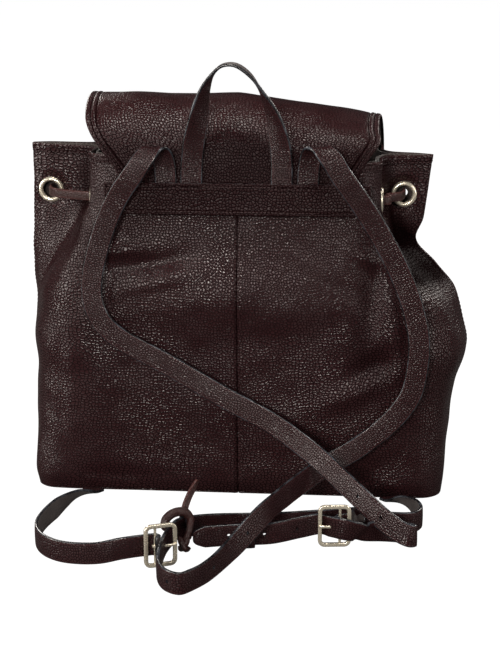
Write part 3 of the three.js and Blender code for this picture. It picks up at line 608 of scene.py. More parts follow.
def level_at(z):
    """The row of LEVELS at a height between its rows, on a smooth curve through them."""
    i = int(np.clip(np.searchsorted(LEVELS[:, 0], z) - 1, 0, len(LEVELS) - 2))
    low, high = LEVELS[i], LEVELS[i + 1]

    def slope(n):
        a, b = LEVELS[max(n - 1, 0)], LEVELS[min(n + 1, len(LEVELS) - 1)]
        return (b - a) / (b[0] - a[0])

    span = high[0] - low[0]
    t = min(max((z - low[0]) / span, 0), 1)
    ends = low * (1 + 2 * t) * (1 - t) ** 2 + high * t * t * (3 - 2 * t)
    out = ends + span * (slope(i) * t * (1 - t) ** 2 - slope(i + 1) * t * t * (1 - t))
    out[6] = min(max(out[6], 0), 1)
    return out


def half_outline(level, side, inset):
    """Points round one half of the outline, from the middle of the back; a pleat folds both of its corners in."""
    _, left, right, back, front, corner, pleat = level
    W = (left if side == "left" else right) - inset
    ridge = RIDGE[side] - inset
    middle = (back + front) / 2
    back, front = back + inset, front - inset

    def quarter(face, inward):
        half = abs(middle - face)
        plain = [[(W - 1.2 * corner) / 2, 0], [W - 1.2 * corner, 0], [W - 0.6 * corner, 0.1 * corner],
                 [W - 0.22 * corner, 0.42 * corner], [W - 0.04 * corner, 0.85 * corner], [W, half - 8]]
        folded = [[ridge / 2, 0], [ridge - 12, 0], [ridge, 8], [ridge + 1, 34 - inset],
                  [ridge + 8, half - 13 + 1.7 * inset], [W - 13, half - 8.5 + 1.2 * inset]]
        both = np.array(plain) * (1 - pleat) + np.array(folded) * pleat
        return [[x, face + inward * y] for x, y in both]

    return [[0, back], *quarter(back, 1), [W, middle], *quarter(front, -1)[::-1]]


class Outline:
    """The body's plain surface, read from tables made once for the given keys."""

    def __init__(self, keys, inset=0.0):
        self.zs = np.arange(0, 290, 1.0)
        t = np.asarray(keys, float) / KEYS
        self.xy, self.out = [], []
        for z in self.zs:
            level = level_at(z)
            left = [[-x, y] for x, y in half_outline(level, "left", inset)]
            right = half_outline(level, "right", inset)
            ring = left + [[0, level[4] - inset]] + right[1:][::-1]
            point, before, after = (catmull(ring, t + d, True) for d in (0, -0.004, 0.004))
            out = zipped(after[:, 1] - before[:, 1], before[:, 0] - after[:, 0])
            self.xy.append(point)
            self.out.append(-unit(out))
        self.xy, self.out = np.array(self.xy), np.array(self.out)

    def place(self, z):
        """Points and outward directions; z is rows by columns, one column for each key."""
        k = np.clip(z, 0, self.zs[-1] - 1e-6)
        i = np.floor(k).astype(int)
        w = (k - i)[..., None]
        c = np.broadcast_to(np.arange(z.shape[1]), z.shape)
        xy = self.xy[i, c] * (1 - w) + self.xy[i + 1, c] * w
        out = unit(self.out[i, c] * (1 - w) + self.out[i + 1, c] * w)
        return np.concatenate([xy, z[..., None]], -1), np.concatenate([out, np.zeros_like(z[..., None])], -1)

    def rim(self):
        """How high the mouth is at each key."""
        x = self.xy[int(LACE_Z), :, 0]
        return RIM_HEIGHT - RIM_TILT * x / 150


def ellipse(x, z, cx, cz, rx, rz, turn=0.0):
    """A soft bump of height 1 centred at (cx, cz), with its long way turned."""
    c, s = math.cos(math.radians(turn)), math.sin(math.radians(turn))
    u, v = (x - cx) * c + (z - cz) * s, -(x - cx) * s + (z - cz) * c
    return np.exp(-((u / rx) ** 2 + (v / rz) ** 2))


def ripples(p, wavelength, seed):
    """Gentle uneven rise and fall, from -1 to 1, with no fixed direction."""
    rng = np.random.default_rng(seed)
    total = np.zeros(p.shape[:-1])
    for _ in range(9):
        way = rng.normal(size=3)
        way /= np.linalg.norm(way)
        k = 2 * math.pi / (wavelength * rng.uniform(0.7, 1.6))
        total += np.sin(p @ way * k + rng.uniform(0, 2 * math.pi))
    return total / 5.0


# Folds of the back: height, centre x and z, half-widths, turn in degrees.
BACK_FOLDS = [
    # full below the band, soft ridges where the fold of each corner ends, hollows under them
    (6.8, -5, 167, 98, 28, 0), (3.4, -92, 204, 24, 5.5, 9), (-4.6, -112, 182, 8, 34, 3),
    (-3.0, -72, 193, 34, 6, 12), (2.0, -60, 180, 34, 6, 14), (3.4, 102, 200, 17, 6, -30),
    (-5.0, 107, 166, 8, 36, -6), (3.4, 126, 136, 9, 42, 6), (-4.2, 110, 112, 20, 11, 30),
    (2.8, 92, 90, 38, 9, 26), (-2.6, 84, 178, 28, 8, -40), (2.2, 60, 194, 22, 6, -30),
    (2.0, -122, 118, 22, 58, 4), (-2.4, -146, 92, 8, 60, 0), (-2.4, 112, 22, 22, 13, 30),
    (-2.0, -98, 14, 26, 9, 0), (2.0, 40, 62, 62, 13, -14),
    # a deep fold runs down from the right ear, with a hollow under its ridge
    (-7.0, 126, 212, 6, 26, 16), (-4.5, 150, 177, 15, 8.5, -12),
]
# Level swellings and hollows of the two sides: side, height, z, reach.
SIDE_FOLDS = [(1, -1.6, 200, 9), (1, 1.0, 60, 16), (-1, -1.6, 100, 14), (-1, 1.2, 128, 13), (-1, -1.2, 207, 12)]
# Painted shade deep in the folds: strength, centre x and z, half-widths, turn.
BACK_SHADES = [
    (1.3, 130, 206, 9, 34, 14), (1.3, 158, 180, 22, 11, -24), (1.2, 142, 197, 16, 12, -20),
    (0.8, -114, 178, 6, 28, 3), (0.9, -129, 244, 7, 42, -4), (0.6, 119, 246, 6, 34, 4), (0.5, 108, 118, 16, 30, 20),
]
# painted shade in the fold on the right flank below the ear, on the side as well as the back: strength, centre x and z,
# half-widths, turn
FLANK_SHADE = (1.0, 151, 193, 17, 15, -35)
DARKEST = 1.3


def relief(p, out):
    """How far the slack leather stands out from the plain outline, in millimetres."""
    x, z = p[..., 0], p[..., 2]
    back = smoothstep(-out[..., 1], 0.25, 0.8)
    front = smoothstep(out[..., 1], 0.25, 0.8)
    d = np.zeros(x.shape)
    for height, *where in BACK_FOLDS:
        d += back * height * ellipse(x, z, *where)
    # short creases on the right, under the ridge
    inner = smoothstep(-out[..., 0], -0.92, -0.6) * smoothstep(x, 128, 142)
    d += inner * 1.1 * np.sin((z - 0.25 * (x - 150)) * 2 * math.pi / 6.5) * bell(z, 161, 9.0)
    for side, height, at, reach in SIDE_FOLDS:
        flank = smoothstep(side * out[..., 0], 0.3, 0.85) * (side * x > 0)
        d += flank * height * bell(z, at, reach)
    # front: gathers below the lace
    gather = smoothstep(z, 120, 230) * front
    d += gather * 1.5 * np.sin(x / 7.5 + 0.8 * np.sin(z / 24.0))
    d += front * 2.2 * ellipse(x, z, 0, 70, 110, 40)
    d += 0.7 * ripples(p, 62.0, 3) + 0.35 * ripples(p, 27.0, 8)
    return d * smoothstep(z, 2, 16) * (1 - 0.75 * smoothstep(z, 262, 279))


def shades(p, out):
    """The painted shade stored in the folds, which the leather's painted shade input reads."""
    x, z = p[..., 0], p[..., 2]
    dark = smoothstep(-out[..., 1], -0.3, 0.1) * FLANK_SHADE[0] * ellipse(x, z, *FLANK_SHADE[1:])
    for strength, *where in BACK_SHADES:
        dark += smoothstep(-out[..., 1], 0.0, 0.35) * strength * ellipse(x, z, *where)
    return dark


# Each eyelet: its name, where it sits and which way it faces.
EYELETS = []
for side, s in (("left", -1), ("right", 1)):
    ridge, ear = RIDGE[side] + 0.6, EAR_EYELET[side]
    for where, x, y, face in (("back_ridge", ridge, -43, (s, 0, 0)), ("back_ear", ear, -10.6, (0, -1, 0)),
                              ("front_ear", ear, 3.6, (0, 1, 0)), ("front_ridge", ridge, 36, (s, 0, 0)),
                              ("front_centre", 24, 57.2, (0, 1, 0))):
        EYELETS.append((f"eyelet_{where}_{side}", np.array([s * x, y, LACE_Z]), np.array(face, float)))


def seat_eyelets(p, out, depth):
    """Draws the leather flat under each eyelet's flange, so that the metal sits on it."""
    for _, centre, face in EYELETS:
        rel = p - centre
        high = rel @ face
        flat = np.linalg.norm(rel - high[..., None] * face, axis=-1)
        near = (np.abs(high) < 9) & (out @ face > 0.2)
        w = (1 - smoothstep(flat, 11.0, 17.0)) * near
        p = p + (w * (-depth - high))[..., None] * face
    return p


HEM_STITCHED = 6.2  # how far below the mouth the hem's stitches run


def wall(name, start, end, columns, rows, looks, bottom=0.0, inset=0.0, thickness=2.0, closed=False):
    """A panel of the body between two keys of the outline. Panels that aren't closed have a hem and two side seams."""
    keys = np.linspace(start, end, columns, endpoint=not closed)
    outline = Outline(keys, inset)
    share = np.linspace(0, 1, rows)
    share = np.concatenate([share[:1], [0.002, 0.006], share[1:-1], [0.992, 0.997], share[-1:]])
    z = bottom + share[:, None] * (outline.rim() - bottom)[None]
    p, out = outline.place(z)
    lift = relief(p, out)
    painted_shade = np.zeros(z.shape)
    wear = np.zeros(z.shape)
    if not closed:
        # the hem is turned in along the mouth: the edge rolls and a stitched groove runs below it
        below = outline.rim()[None] - z
        groove = bell(below, HEM_STITCHED, 0.9)
        lift += 0.5 * (1 - smoothstep(below, 5.5, 7.5)) - 0.55 * groove
        # painted shade in the hem's stitched groove
        painted_shade += 0.8 * groove
        wear += 0.5 * (1 - smoothstep(below, 0.2, 1.6))
    # painted shade deep in the folds, from BACK_SHADES and FLANK_SHADE
    painted_shade = np.clip(painted_shade + shades(p, out), 0, DARKEST)
    if not closed:
        for column in (0, -1):
            run = np.linalg.norm(p - p[:, column][:, None], axis=-1)
            lift += 0.4 * bell(run, 2.2, 1.7) - 0.7 * bell(run, 0, 0.55)
            # painted shade along the side seams
            painted_shade += 0.4 * bell(run, 0, 0.5)
    p = p + out * (lift * (0.7 if inset else 1.0))[..., None]
    p = seat_eyelets(p, out, inset)
    obj = slab(name, p, p - out * thickness, looks, closed, {"painted_shade": painted_shade, "wear": wear},
               bevel=0.5 if thickness > 1 else 0)
    return obj, p, out


def eyelet_cutters(radius, grid, which=""):
    """Cutters for the eyelets that lie in a wall and have the given word in their names."""
    up = np.array([0, 0, 1.0])
    return [peg(centre, np.array([-face[1], face[0], 0.0]), up, face, radius, 6.5, 40) for name, centre, face in EYELETS
            if which in name and np.linalg.norm(grid - centre, axis=-1).min() <= 12]


LEATHER, CLOTH, LACE = ["body", "inside", "body"], ["cloth"] * 3, ["lace"] * 3
back_left, p_left, out_left = wall("back_left", 0.003, 6.88, 190, 190, LEATHER)
back_right, p_right, out_right = wall("back_right", 21.12, 27.997, 190, 190, LEATHER)
front, p_front, out_front = wall("front", 7.12, 20.88, 290, 150, LEATHER)
lining, p_lining, _ = wall("lining_shell", 0, 28, 340, 120, CLOTH, bottom=6.1, inset=4.4, thickness=0.8, closed=True)
for obj, grid in ((back_left, p_left), (back_right, p_right), (front, p_front)):
    punch(obj, eyelet_cutters(8.2, grid))
punch(lining, eyelet_cutters(9.0, p_lining, "back") + eyelet_cutters(3.1, p_lining, "front"))
ride(back_left, "bag", "body", "back_panel_left")
ride(back_right, "bag", "body", "back_panel_right")
ride(front, "bag", "body", "front_panel")
ride(lining, "bag", "cloth", "lining")


def hem_line(grid, outward):
    """The line of a wall that its hem's stitches follow, and the way the wall faces along it."""
    z = grid[..., 2]
    rows = np.argmin(np.abs(z - (z[-1] - HEM_STITCHED)), axis=0)
    columns = np.arange(grid.shape[1])
    return grid[rows, columns], outward[rows, columns]


hems = [stitches("hem", *hem_line(grid, outward), 3.4, lift=0.25)
        for grid, outward in ((p_left, out_left), (p_right, out_right), (p_front, out_front))]
for grid, outward, edge, column in ((p_left, out_left, -1, -5), (p_right, out_right, 0, 4)):
    hems.append(stitches("side", grid[8:-8:2, column], outward[8:-8:2, edge], 3.6, lift=0.1))
ride(merge("body_stitches", hems), "bag", "thread")


# ---------------------------------------------------------------- base
def fill_hole(work):
    bmesh.ops.holes_fill(work, edges=[e for e in work.edges if e.is_boundary], sides=0)


def disc(name, z_low, z_high, inset, looks):
    """A plate that fills the body's outline at its foot."""
    outline = Outline(np.linspace(0, KEYS, 240, endpoint=False))
    ring, out = outline.place(np.full((1, 240), (z_low + z_high) / 2))
    ring = (ring - out * inset)[0]
    share = np.concatenate([np.linspace(0.02, 0.94, 24), np.linspace(0.955, 1, 8)])
    flat = ring * [1, 1, 0] * share[:, None, None]
    round_off = 0.5 * (z_high - z_low) * (1 - np.sqrt(1 - smoothstep(share, 0.975, 1) ** 2 * 0.96))
    low = flat + np.array([0, 0, 1.0]) * (z_low + round_off)[:, None, None]
    high = flat + np.array([0, 0, 1.0]) * (z_high - round_off)[:, None, None]
    obj = slab(name, high, low, looks, True, grain=flat)
    rework(obj, fill_hole)
    return obj


ride(disc("base_leather", 0.0, 2.4, 2.4, ["inside", "body", "body"]), "bag", "body", "base_panel")
ride(disc("floor_cloth", 5.0, 5.8, 3.6, CLOTH), "bag", "cloth", "lining_floor")
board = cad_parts["base_board"].data
board.materials.clear()
board.materials.append(LOOK["board"])


# ---------------------------------------------------------------- straps
# Each station of a strap: its centre, then the way its grain side faces.
STRAP_HALF, STRAP_DEEP = 8.5, 1.2


def strap_section(half, deep, crown=0.25, edge=0.9, grain=11, reverse=7, bend=7):
    """Half-round painted edges, a slightly crowned grain side, a flat reverse. Kinds: 0 grain, 1 reverse, 2 edge."""
    points, kinds = [], []
    for a in np.linspace(-1, 1, grain):
        points.append([a * (half - edge), deep + crown * (1 - a * a)])
        kinds.append(0)
    for phi in np.linspace(math.pi / 2, -math.pi / 2, bend + 2)[1:-1]:
        points.append([half - edge + edge * math.cos(phi), deep * math.sin(phi)])
        kinds.append(2)
    for a in np.linspace(1, -1, reverse):
        points.append([a * (half - edge), -deep])
        kinds.append(1)
    for phi in np.linspace(-math.pi / 2, math.pi / 2, bend + 2)[1:-1]:
        points.append([-(half - edge) - edge * math.cos(phi), deep * math.sin(phi)])
        kinds.append(2)
    kinds[grain - 1] = 2
    kinds[grain + bend + reverse - 1] = 2
    wear = [max(0.0, (abs(x) - (half - edge) + 1.6) / 2.5) if k != 1 else 0 for (x, _), k in zip(points, kinds)]
    return points, kinds, wear


def strip_frames(stations, step, soft):
    """Even steps along the stations: centres, directions across and out of the strip, and distances."""
    table = np.array(stations, float)
    points, faces = table[:, :3], unit(table[:, 3:])
    rough = catmull(points, np.linspace(0, 1, 40 * len(points)))
    count = max(8, int(arc_length(rough)[-1] / step))
    fine = np.linspace(0, 1, 4000)
    s = arc_length(catmull(points, fine))
    run = np.linspace(0, s[-1], count + 1)
    t = np.interp(run, s, fine)
    centres = catmull(points, t)
    tangent = unit(np.gradient(centres, axis=0))
    outward = along(faces, np.arange(len(points)), t * (len(points) - 1))
    across = unit(np.cross(tangent, unit(soften(outward, soft))))
    normal = unit(np.cross(across, tangent))
    return centres, across, normal, run


def strip(name, stations, half=STRAP_HALF, deep=STRAP_DEEP, looks=("strap", "suede", "edge"), step=1.5, tip=0.0,
          soft=14, crown=0.25, edge=0.9):
    """A strap or lace through its stations; tip is the length of its pointed end."""
    centres, across, normal, s = strip_frames(stations, step, soft)
    left = s[-1] - s
    scale = np.where(left < tip, 0.35 + 0.65 * np.sqrt(np.clip(left / tip, 0, 1)), 1.0) if tip else None
    section, kinds, wear = strap_section(half, deep, crown, edge)
    obj = sweep(name, centres, across, normal, section, list(looks), kinds, scale=scale, attributes={"wear": wear})
    return obj, (centres, across, normal, s)


STRAP_A = [
    (-56, -69.6, 236, 0, 1, 0), (-56, -69.6, 262, 0, 1, 0), (-57, -70.4, 275, 0, 1, 0.1),
    (-60, -73.5, 284, 0, 0.7, 0.7), (-64, -78.5, 286.5, 0, -0.1, 1), (-70, -83.5, 281, -0.1, -0.9, 0.4),
    (-79, -84, 268, 0, -1, 0.05), (-91, -81.5, 251, 0, -1, 0), (-101, -79.5, 231, 0, -1, 0),
    (-110, -78, 205, 0, -1, 0), (-115, -78, 180, -0.1, -1, 0), (-114, -79, 162, -0.1, -1, 0),
    (-107, -80, 147, -0.1, -1, 0), (-94, -81, 135, 0, -1, 0.1), (-54, -83, 114, 0, -1, 0.1),
    (-11, -88, 91, 0, -1, 0.1), (32, -95, 70, 0, -1, 0.1), (66, -113, 51, 0, -1, 0.1),
    (90, -140, 38.5, 0, -1, 0.05), (104, -156, 31, 0, -1, 0.05), (118, -167.5, 22, 0.1, -1, 0),
    (133, -173.5, 13, 0.2, -1, 0), (141, -174.5, 10.2, 0.8, -0.6, 0), (144.5, -170, 9.4, 1, 0.4, 0),
    (139, -166, 9.4, 0.2, 1, 0), (120, -163.5, 9.6, 0, 1, 0), (107, -170.5, 11.4, 0.5, 1, 0),
    (99.5, -178.4, 14, 0.3, 1, 0), (90, -181.4, 16.9, 0, 1, 0), (80.5, -176.8, 16.9, -0.5, 1, 0),
    (72, -170.2, 16.3, -0.3, 1, 0), (57, -171.5, 13.4, 0.1, 1, 0), (36, -180, 11.2, 0.1, 1, 0),
    (8, -186, 11.4, 0, 1, 0), (-22, -191, 10, 0, 1, 0),
]
STRAP_B = [
    (56, -69.6, 236, 0, 1, 0), (56, -69.6, 262, 0, 1, 0), (57, -70.4, 275, 0, 1, 0.1),
    (60, -73.5, 285, 0, 0.7, 0.7), (65, -78.5, 288, 0, -0.1, 1), (73, -83.5, 282, 0.1, -0.9, 0.4),
    (83, -84, 267, 0, -1, 0.05), (97, -81, 247, 0, -1, 0), (112, -78, 223, 0, -1, 0), (128, -76.5, 193, 0, -1, 0),
    (139, -77, 165, 0, -1, 0), (145, -78, 138, 0, -1, 0), (144, -78, 112, 0, -1, 0), (139, -78, 91, 0, -1, 0),
    (124, -79, 70, 0, -1, 0.1), (98, -84, 49, 0, -1, 0.1), (74, -99, 38.5, 0, -1, 0.1), (58, -124, 34, 0, -1, 0.1),
    (44, -156, 32, 0.1, -1, 0.1), (31, -189, 29.5, 0.3, -1, 0.1), (10, -222, 14, 0.4, -1, 0),
    (-4, -252, 9.2, 0.6, -0.8, 0), (-14, -270, 9.2, 0.3, -1, 0), (-21, -277, 9.2, -0.2, -1, 0),
    (-32, -270, 9.2, -0.8, -0.6, 0), (-39, -255, 11, -1, -0.2, 0), (-39.5, -240, 15, -1, 0.1, 0),
    (-38.8, -224, 17, -1, 0.1, 0), (-36.6, -207, 17, -0.9, 0.4, 0), (-33.6, -190, 16, -0.8, 0.6, 0),
    (-24, -174, 13, -0.6, 0.8, 0), (-8, -162, 10.5, -0.4, 1, 0), (16, -155, 9.2, -0.2, 1, 0),
    (45, -150, 9.2, -0.2, 1, 0), (78, -141, 9.2, -0.2, 1, 0), (108, -132, 9.2, -0.2, 1, 0),
]
SHORT_LEFT = [
    (-118, -72, 3.4, 0, 0, 1), (-121, -84, 5, -0.1, 0, 1), (-129, -107, 8.4, -0.8, 0.3, 0.6),
    (-137, -135, 9.2, -1, 0.2, 0), (-142, -165, 9.2, -1, 0, 0), (-141, -190, 9.2, -1, -0.3, 0),
    (-131, -212, 9.2, -0.7, -0.7, 0), (-114, -225, 9.2, -0.4, -1, 0), (-88, -231.5, 11.5, 0, -1, 0),
    (-70.5, -231.5, 15.5, 0.1, -1, 0), (-60, -229.6, 16.9, 0.3, -1, 0), (-53.2, -226.6, 16.9, 0.4, -1, 0),
    (-49, -224.6, 16.9, 0.2, -1, 0), (-44.9, -223.9, 16.9, -0.3, -1, 0), (-41.9, -226.6, 16.9, -1, -0.1, 0),
    (-43.7, -230, 16.9, 0.2, 1, 0),
]
SHORT_RIGHT = [
    (124, -72, 3.4, 0, 0, 1), (129, -83, 5, 0.1, 0, 1), (138, -98, 8.4, 0.8, 0.3, 0.6), (146, -114, 9.4, 1, 0.2, 0),
    (149, -130, 9.4, 1, -0.1, 0), (143, -142, 9.4, 0.7, -0.7, 0), (128, -147, 10.5, 0.1, -1, 0),
    (112, -149.5, 13, -0.1, -1, 0), (103.5, -151.4, 15.5, -0.3, -1, 0), (97.6, -158.5, 16.9, -0.8, -0.6, 0),
    (94.4, -166.6, 16.9, -0.8, -0.6, 0), (91, -170.9, 16.9, -0.3, -1, 0), (86.8, -171.2, 16.9, 0.4, -1, 0),
    (84.6, -174.6, 16.9, 1, 0.1, 0), (87, -177.5, 16.9, -0.1, 1, 0),
]
HANDLE = [
    (-35.8, -69.6, 262.2, 0, -1, 0), (-35.2, -70, 275, 0.1, -1, 0), (-33.4, -71, 291, 0.25, -1, 0.05),
    (-29.6, -72.5, 309, 0.6, -0.9, 0.2), (-25, -74, 330, 0.9, -0.4, -0.3), (-19, -75, 343, 0.8, 0, -0.7),
    (-11, -75, 350.5, 0.3, 0, -1), (-1, -75, 351.4, -0.1, 0, -1), (10, -75, 344.5, -0.6, 0, -0.9),
    (20, -74.6, 331, -0.9, -0.2, -0.5), (29, -73, 311, -0.8, -0.8, -0.1), (34, -71, 290, -0.3, -1, 0),
    (35.4, -70, 275, -0.1, -1, 0), (35.4, -69.6, 262.2, 0, -1, 0),
]


def hole_cutters(frames, places):
    """Cutters for the prong's holes, at distances along a strap."""
    centres, _, normal, s = frames
    made = []
    for at in places:
        i = int(np.argmin(np.abs(s - at)))
        u = unit(np.cross(normal[i], [0.3, 0.2, 0.9]))
        made.append(peg(centres[i], u, np.cross(normal[i], u), normal[i], 1.25, 3, 18))
    return made


for side, stations, places in (("left", STRAP_A, [473.0, 499.0, 634.0, 660.0, 686.0]),
                               ("right", STRAP_B, [494.0, 541.0, 588.0, 776.0, 800.0, 826.0])):
    strap, frames = strip(f"strap_{side}", stations, looks=("strap", "strap", "edge"), tip=9)
    punch(strap, hole_cutters(frames, places))
    ride(strap, "bag", "strap", f"shoulder_strap_{side}")
for side, stations in (("left", SHORT_LEFT), ("right", SHORT_RIGHT)):
    ride(strip(f"tab_{side}", stations, soft=6)[0], "bag", "strap", f"short_strap_{side}")

# the handle's two ends go in behind the band, so each leg is carried on down to it
legs_in = [(-35.8, -69.6, 255.5, 0, -1, 0)] + HANDLE + [(35.4, -69.6, 255.5, 0, -1, 0)]
handle, (centres, across, normal, s) = strip("handle", legs_in, soft=10)
sewn = []
for up in (s, s[-1] - s):
    pick = (up > 7.0) & (up < 17.5)
    for reach in (-6.0, 6.0):
        sewn.append(stitches("leg", centres[pick] + across[pick] * reach + normal[pick] * 1.35, normal[pick], 2.6))
    for at in (7.6, 16.6):
        i = int(np.argmin(np.abs(up - at)))
        row = np.linspace(-6.2, 6.2, 12)[:, None] * across[i] + centres[i] + normal[i] * 1.42
        sewn.append(stitches("leg", row, same(normal[i], 12), 2.6))
handle_thread = merge("handle_stitches", sewn)
for obj in (handle, handle_thread):
    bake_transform(obj)
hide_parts("top_handle")


# ---------------------------------------------------------------- band across the back
BAND_HALF, BAND_LOW, BAND_HIGH = 105, 234, 259


def band():
    """The band with its stitches, a thin sheet that bulges over what is sewn in behind it."""
    xs = np.linspace(-102.5, 102.5, 206)
    xs = np.concatenate([[-BAND_HALF, -104.6, -103.8], xs, [103.8, 104.6, BAND_HALF]])
    zs = np.concatenate([[BAND_LOW, 234.3, 234.9], np.linspace(235.6, 257.4, 34), [258.1, 258.7, BAND_HIGH]])
    X, Z = np.meshgrid(xs, zs)
    inset = np.minimum(BAND_HALF - np.abs(X), np.minimum(Z - BAND_LOW, BAND_HIGH - Z))
    face = -73.2 + 0.9 * (1 - np.sqrt(1 - (1 - np.clip(inset / 1.1, 0, 1)) ** 2 * 0.98))
    groove = bell(inset, 2.6, 0.55)
    face += 0.5 * groove - 0.25 * bell(inset, 4.4, 1.2)
    for cx in (-56, -35.6, 35.6, 56):  # the ends of the straps and of the handle
        face -= 0.55 * (1 - smoothstep(np.abs(X - cx), 7.0, 10.5)) * smoothstep(Z, 238, 250)
    face -= 0.45 * ripples(zipped(X, face, Z), 44.0, 21)
    outer = zipped(X, face, Z)
    inner = zipped(X, np.maximum(-71.2, face + 0.5), Z)
    wear = 0.165 * bell(inset, 0.6, 0.6)
    # painted shade: the whole band is darkened and dulled at half strength, more in its stitched groove
    obj = slab("band", outer, inner, ["body", "inside", "edge"],
               attributes={"painted_shade": 0.5 + 0.6 * groove, "wear": wear})
    sx, low, high, y = 102.4, 236.6, 256.4, -73.05
    rows = [seam("row", (-sx, y, z), (sx, y, z), 200, (0, -1.0, 0), 3.0) for z in (low, high)]
    rows += [seam("row", (x, y, low), (x, y, high), 30, (0, -1.0, 0), 3.0) for x in (-sx, sx)]
    ride(obj, "bag", "body", "back_band")
    ride(merge("band_stitches", rows), "bag", "thread")


band()

# ---------------------------------------------------------------- flap
FLAP_BACK = [[-68.1, 237], [-68.1, 262], [-66.8, 276], [-62, 292], [-50, 308], [-33.2, 318.6]]
FLAP_FRONT = [[-29.2, 320.4], [-15, 322.8], [8, 321.6], [34, 313], [56, 297], [70.5, 274], [74, 250], [76, 210],
              [77.4, 165], [78, 135], [78, 112]]
HALF_BAND, HALF_TOP, HALF_FRONT = 92, 117, 121
DROOP, DROOP_START, SKEW = 19.5, -5, -7  # the right shoulder hangs lower, and the flap sits a little to the left


def flap_rows(v_back, v_front):
    """For each row of the flap: its middle point, half-width, share of the droop and sideways shift."""
    line = np.concatenate([catmull([[0, y, z] for y, z in table], v)
                           for table, v in ((FLAP_BACK, v_back), (FLAP_FRONT, v_front))])
    half = np.concatenate([
        HALF_BAND + (HALF_TOP - HALF_BAND) * smoothstep(v_back, 0.1, 0.8),
        HALF_TOP + (HALF_FRONT - HALF_TOP) * smoothstep(v_front, 0, 0.5),
    ])
    hem = np.concatenate([np.zeros_like(v_back), np.clip((v_front - 0.84) / 0.16, 0, 1)])
    half = half - 26 * (1 - np.sqrt(1 - hem * hem * 0.98))
    hang = np.concatenate([smoothstep(v_back, 0.4, 1), 1 - 0.6 * v_front])
    shift = SKEW * np.concatenate([smoothstep(v_back, 0.3, 1), np.ones_like(v_front)])
    return line, half, hang, shift


# distances from the flap's edge at which the border has columns, as shares of a typical half-width
BORDER = np.array([0, 0.15, 0.4, 0.8, 1.3, 1.9, 2.5, 3.0, 3.4, 3.8, 4.2, 4.6, 5.0, 5.6, 6.4, 7.2, 7.8, 8.2, 8.6, 9.0,
                   9.5, 10.2]) / 118
GROOVES = (4.4, 8.6)


def flap_sheet(name, v_back, v_front, depth, thickness, looks, trim=0.0, details=True):
    """The flap's leather, or a plain sheet that lies depth below its face and ends short of its sides by trim."""
    line, half, hang, shift = flap_rows(v_back, v_front)
    line = soften(line, 10)
    tangent = unit(np.gradient(line, axis=0))
    outward = unit(soften(zipped(0, -tangent[:, 2], tangent[:, 1]), 6))
    middle = np.linspace(-1 + 11.2 / 118, 1 - 11.2 / 118, 150)
    share = np.concatenate([-1 + BORDER, middle, (1 - BORDER)[::-1]]) * (1 - trim)
    flat = share[None] * half[:, None]
    X = flat + shift[:, None]
    drop = DROOP * np.clip((X - DROOP_START) / (HALF_TOP - DROOP_START), 0, None) ** 1.15 * hang[:, None]
    P = zipped(X, line[:, 1:2], line[:, 2:3] - drop)
    N = np.broadcast_to(outward[:, None], P.shape)
    P = P - N * depth
    run = arc_length(line)
    inset = np.minimum(half[:, None] - np.abs(flat), (run[-1] - run)[:, None])
    attributes = None
    if details:
        groove = sum(bell(inset, at, 0.7) for at in GROOVES)
        lift = 0.55 * (1 - smoothstep(inset, 3.2, 4.6)) - 0.9 * np.clip(1 - inset / 1.1, 0, 1) ** 2
        lift = lift - 0.8 * groove + 0.6 * bell(inset, 6.5, 1.6)
        lift = lift + smoothstep(inset, 2, 16) * (1.1 * ripples(P, 70.0, 5) + 0.45 * ripples(P, 30.0, 9))
        # the leather dips either side of the handle and rises towards both shoulders
        rising = (smoothstep(run, 40, 70) * (1 - smoothstep(run, 105, 140)))[:, None]
        lift = lift - 1.6 * rising * (bell(X, -40, 14) + bell(X, 46, 14))
        lift = lift + 1.1 * rising * (bell(X, -84, 18) + bell(X, 88, 16))
        # the lining lies close under the part that falls over the front
        lined = smoothstep(run, run[len(v_back)], run[len(v_back)] + 8)[:, None]
        lift = lift + lined * (np.maximum(lift, -0.5) - lift)
        P = P + N * lift[..., None]
        fold = (smoothstep(run, 60, 84) * (1 - smoothstep(run, 96, 124)))[:, None]
        # painted shade in the stitched grooves, and over the flap's back from the band up, fading out below its top
        # fold
        attributes = {"painted_shade": np.clip(groove + 0.62 * (1 - smoothstep(run, 44, 68))[:, None], 0, 1.25),
                      "wear": 0.6 * np.clip(1 - inset / 1.2, 0, 1) + 0.25 * fold}
    obj = slab(name, P, P - N * thickness, looks, attributes=attributes, bevel=0.4 if details else 0)
    return obj, P, N, inset


v_back, v_front = np.linspace(0, 1, 60), np.concatenate([np.linspace(0, 0.94, 150), np.linspace(0.943, 1, 24)])
flap, flap_p, flap_n, flap_inset = flap_sheet("flap", v_back, v_front, 0, 1.5, LEATHER)
under, *_ = flap_sheet("flap_cloth", np.array([]), np.linspace(0.02, 0.98, 130), 2.1, 0.8, CLOTH, 0.02, False)

# stitches in the outer groove, down both sides and along the hem
from_groove = np.abs(flap_inset - GROOVES[0])
nearest = np.argsort(from_groove[30])
rows = []
for side in (-1, 1):
    column = [c for c in nearest if flap_p[30, c, 0] * side > 0][0]
    rows.append(stitches("edge", flap_p[6:-10, column], flap_n[6:-10, column], 3.2, lift=0.3))
hem_row = int(np.argmin(from_groove[150:, flap_inset.shape[1] // 2])) + 150
rows.append(stitches("edge", flap_p[hem_row, 12:-12], flap_n[hem_row, 12:-12], 3.2, lift=0.3))
flap_thread = merge("flap_stitches", rows)
for obj in (flap, flap_thread):
    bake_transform(obj)
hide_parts("flap_cover", "flap_back")
ride(under, "flap", "cloth", "flap_lining")


# ---------------------------------------------------------------- metal
def weld(work):
    bmesh.ops.remove_doubles(work, verts=work.verts, dist=1e-6)
    bmesh.ops.dissolve_degenerate(work, edges=work.edges, dist=1e-7)


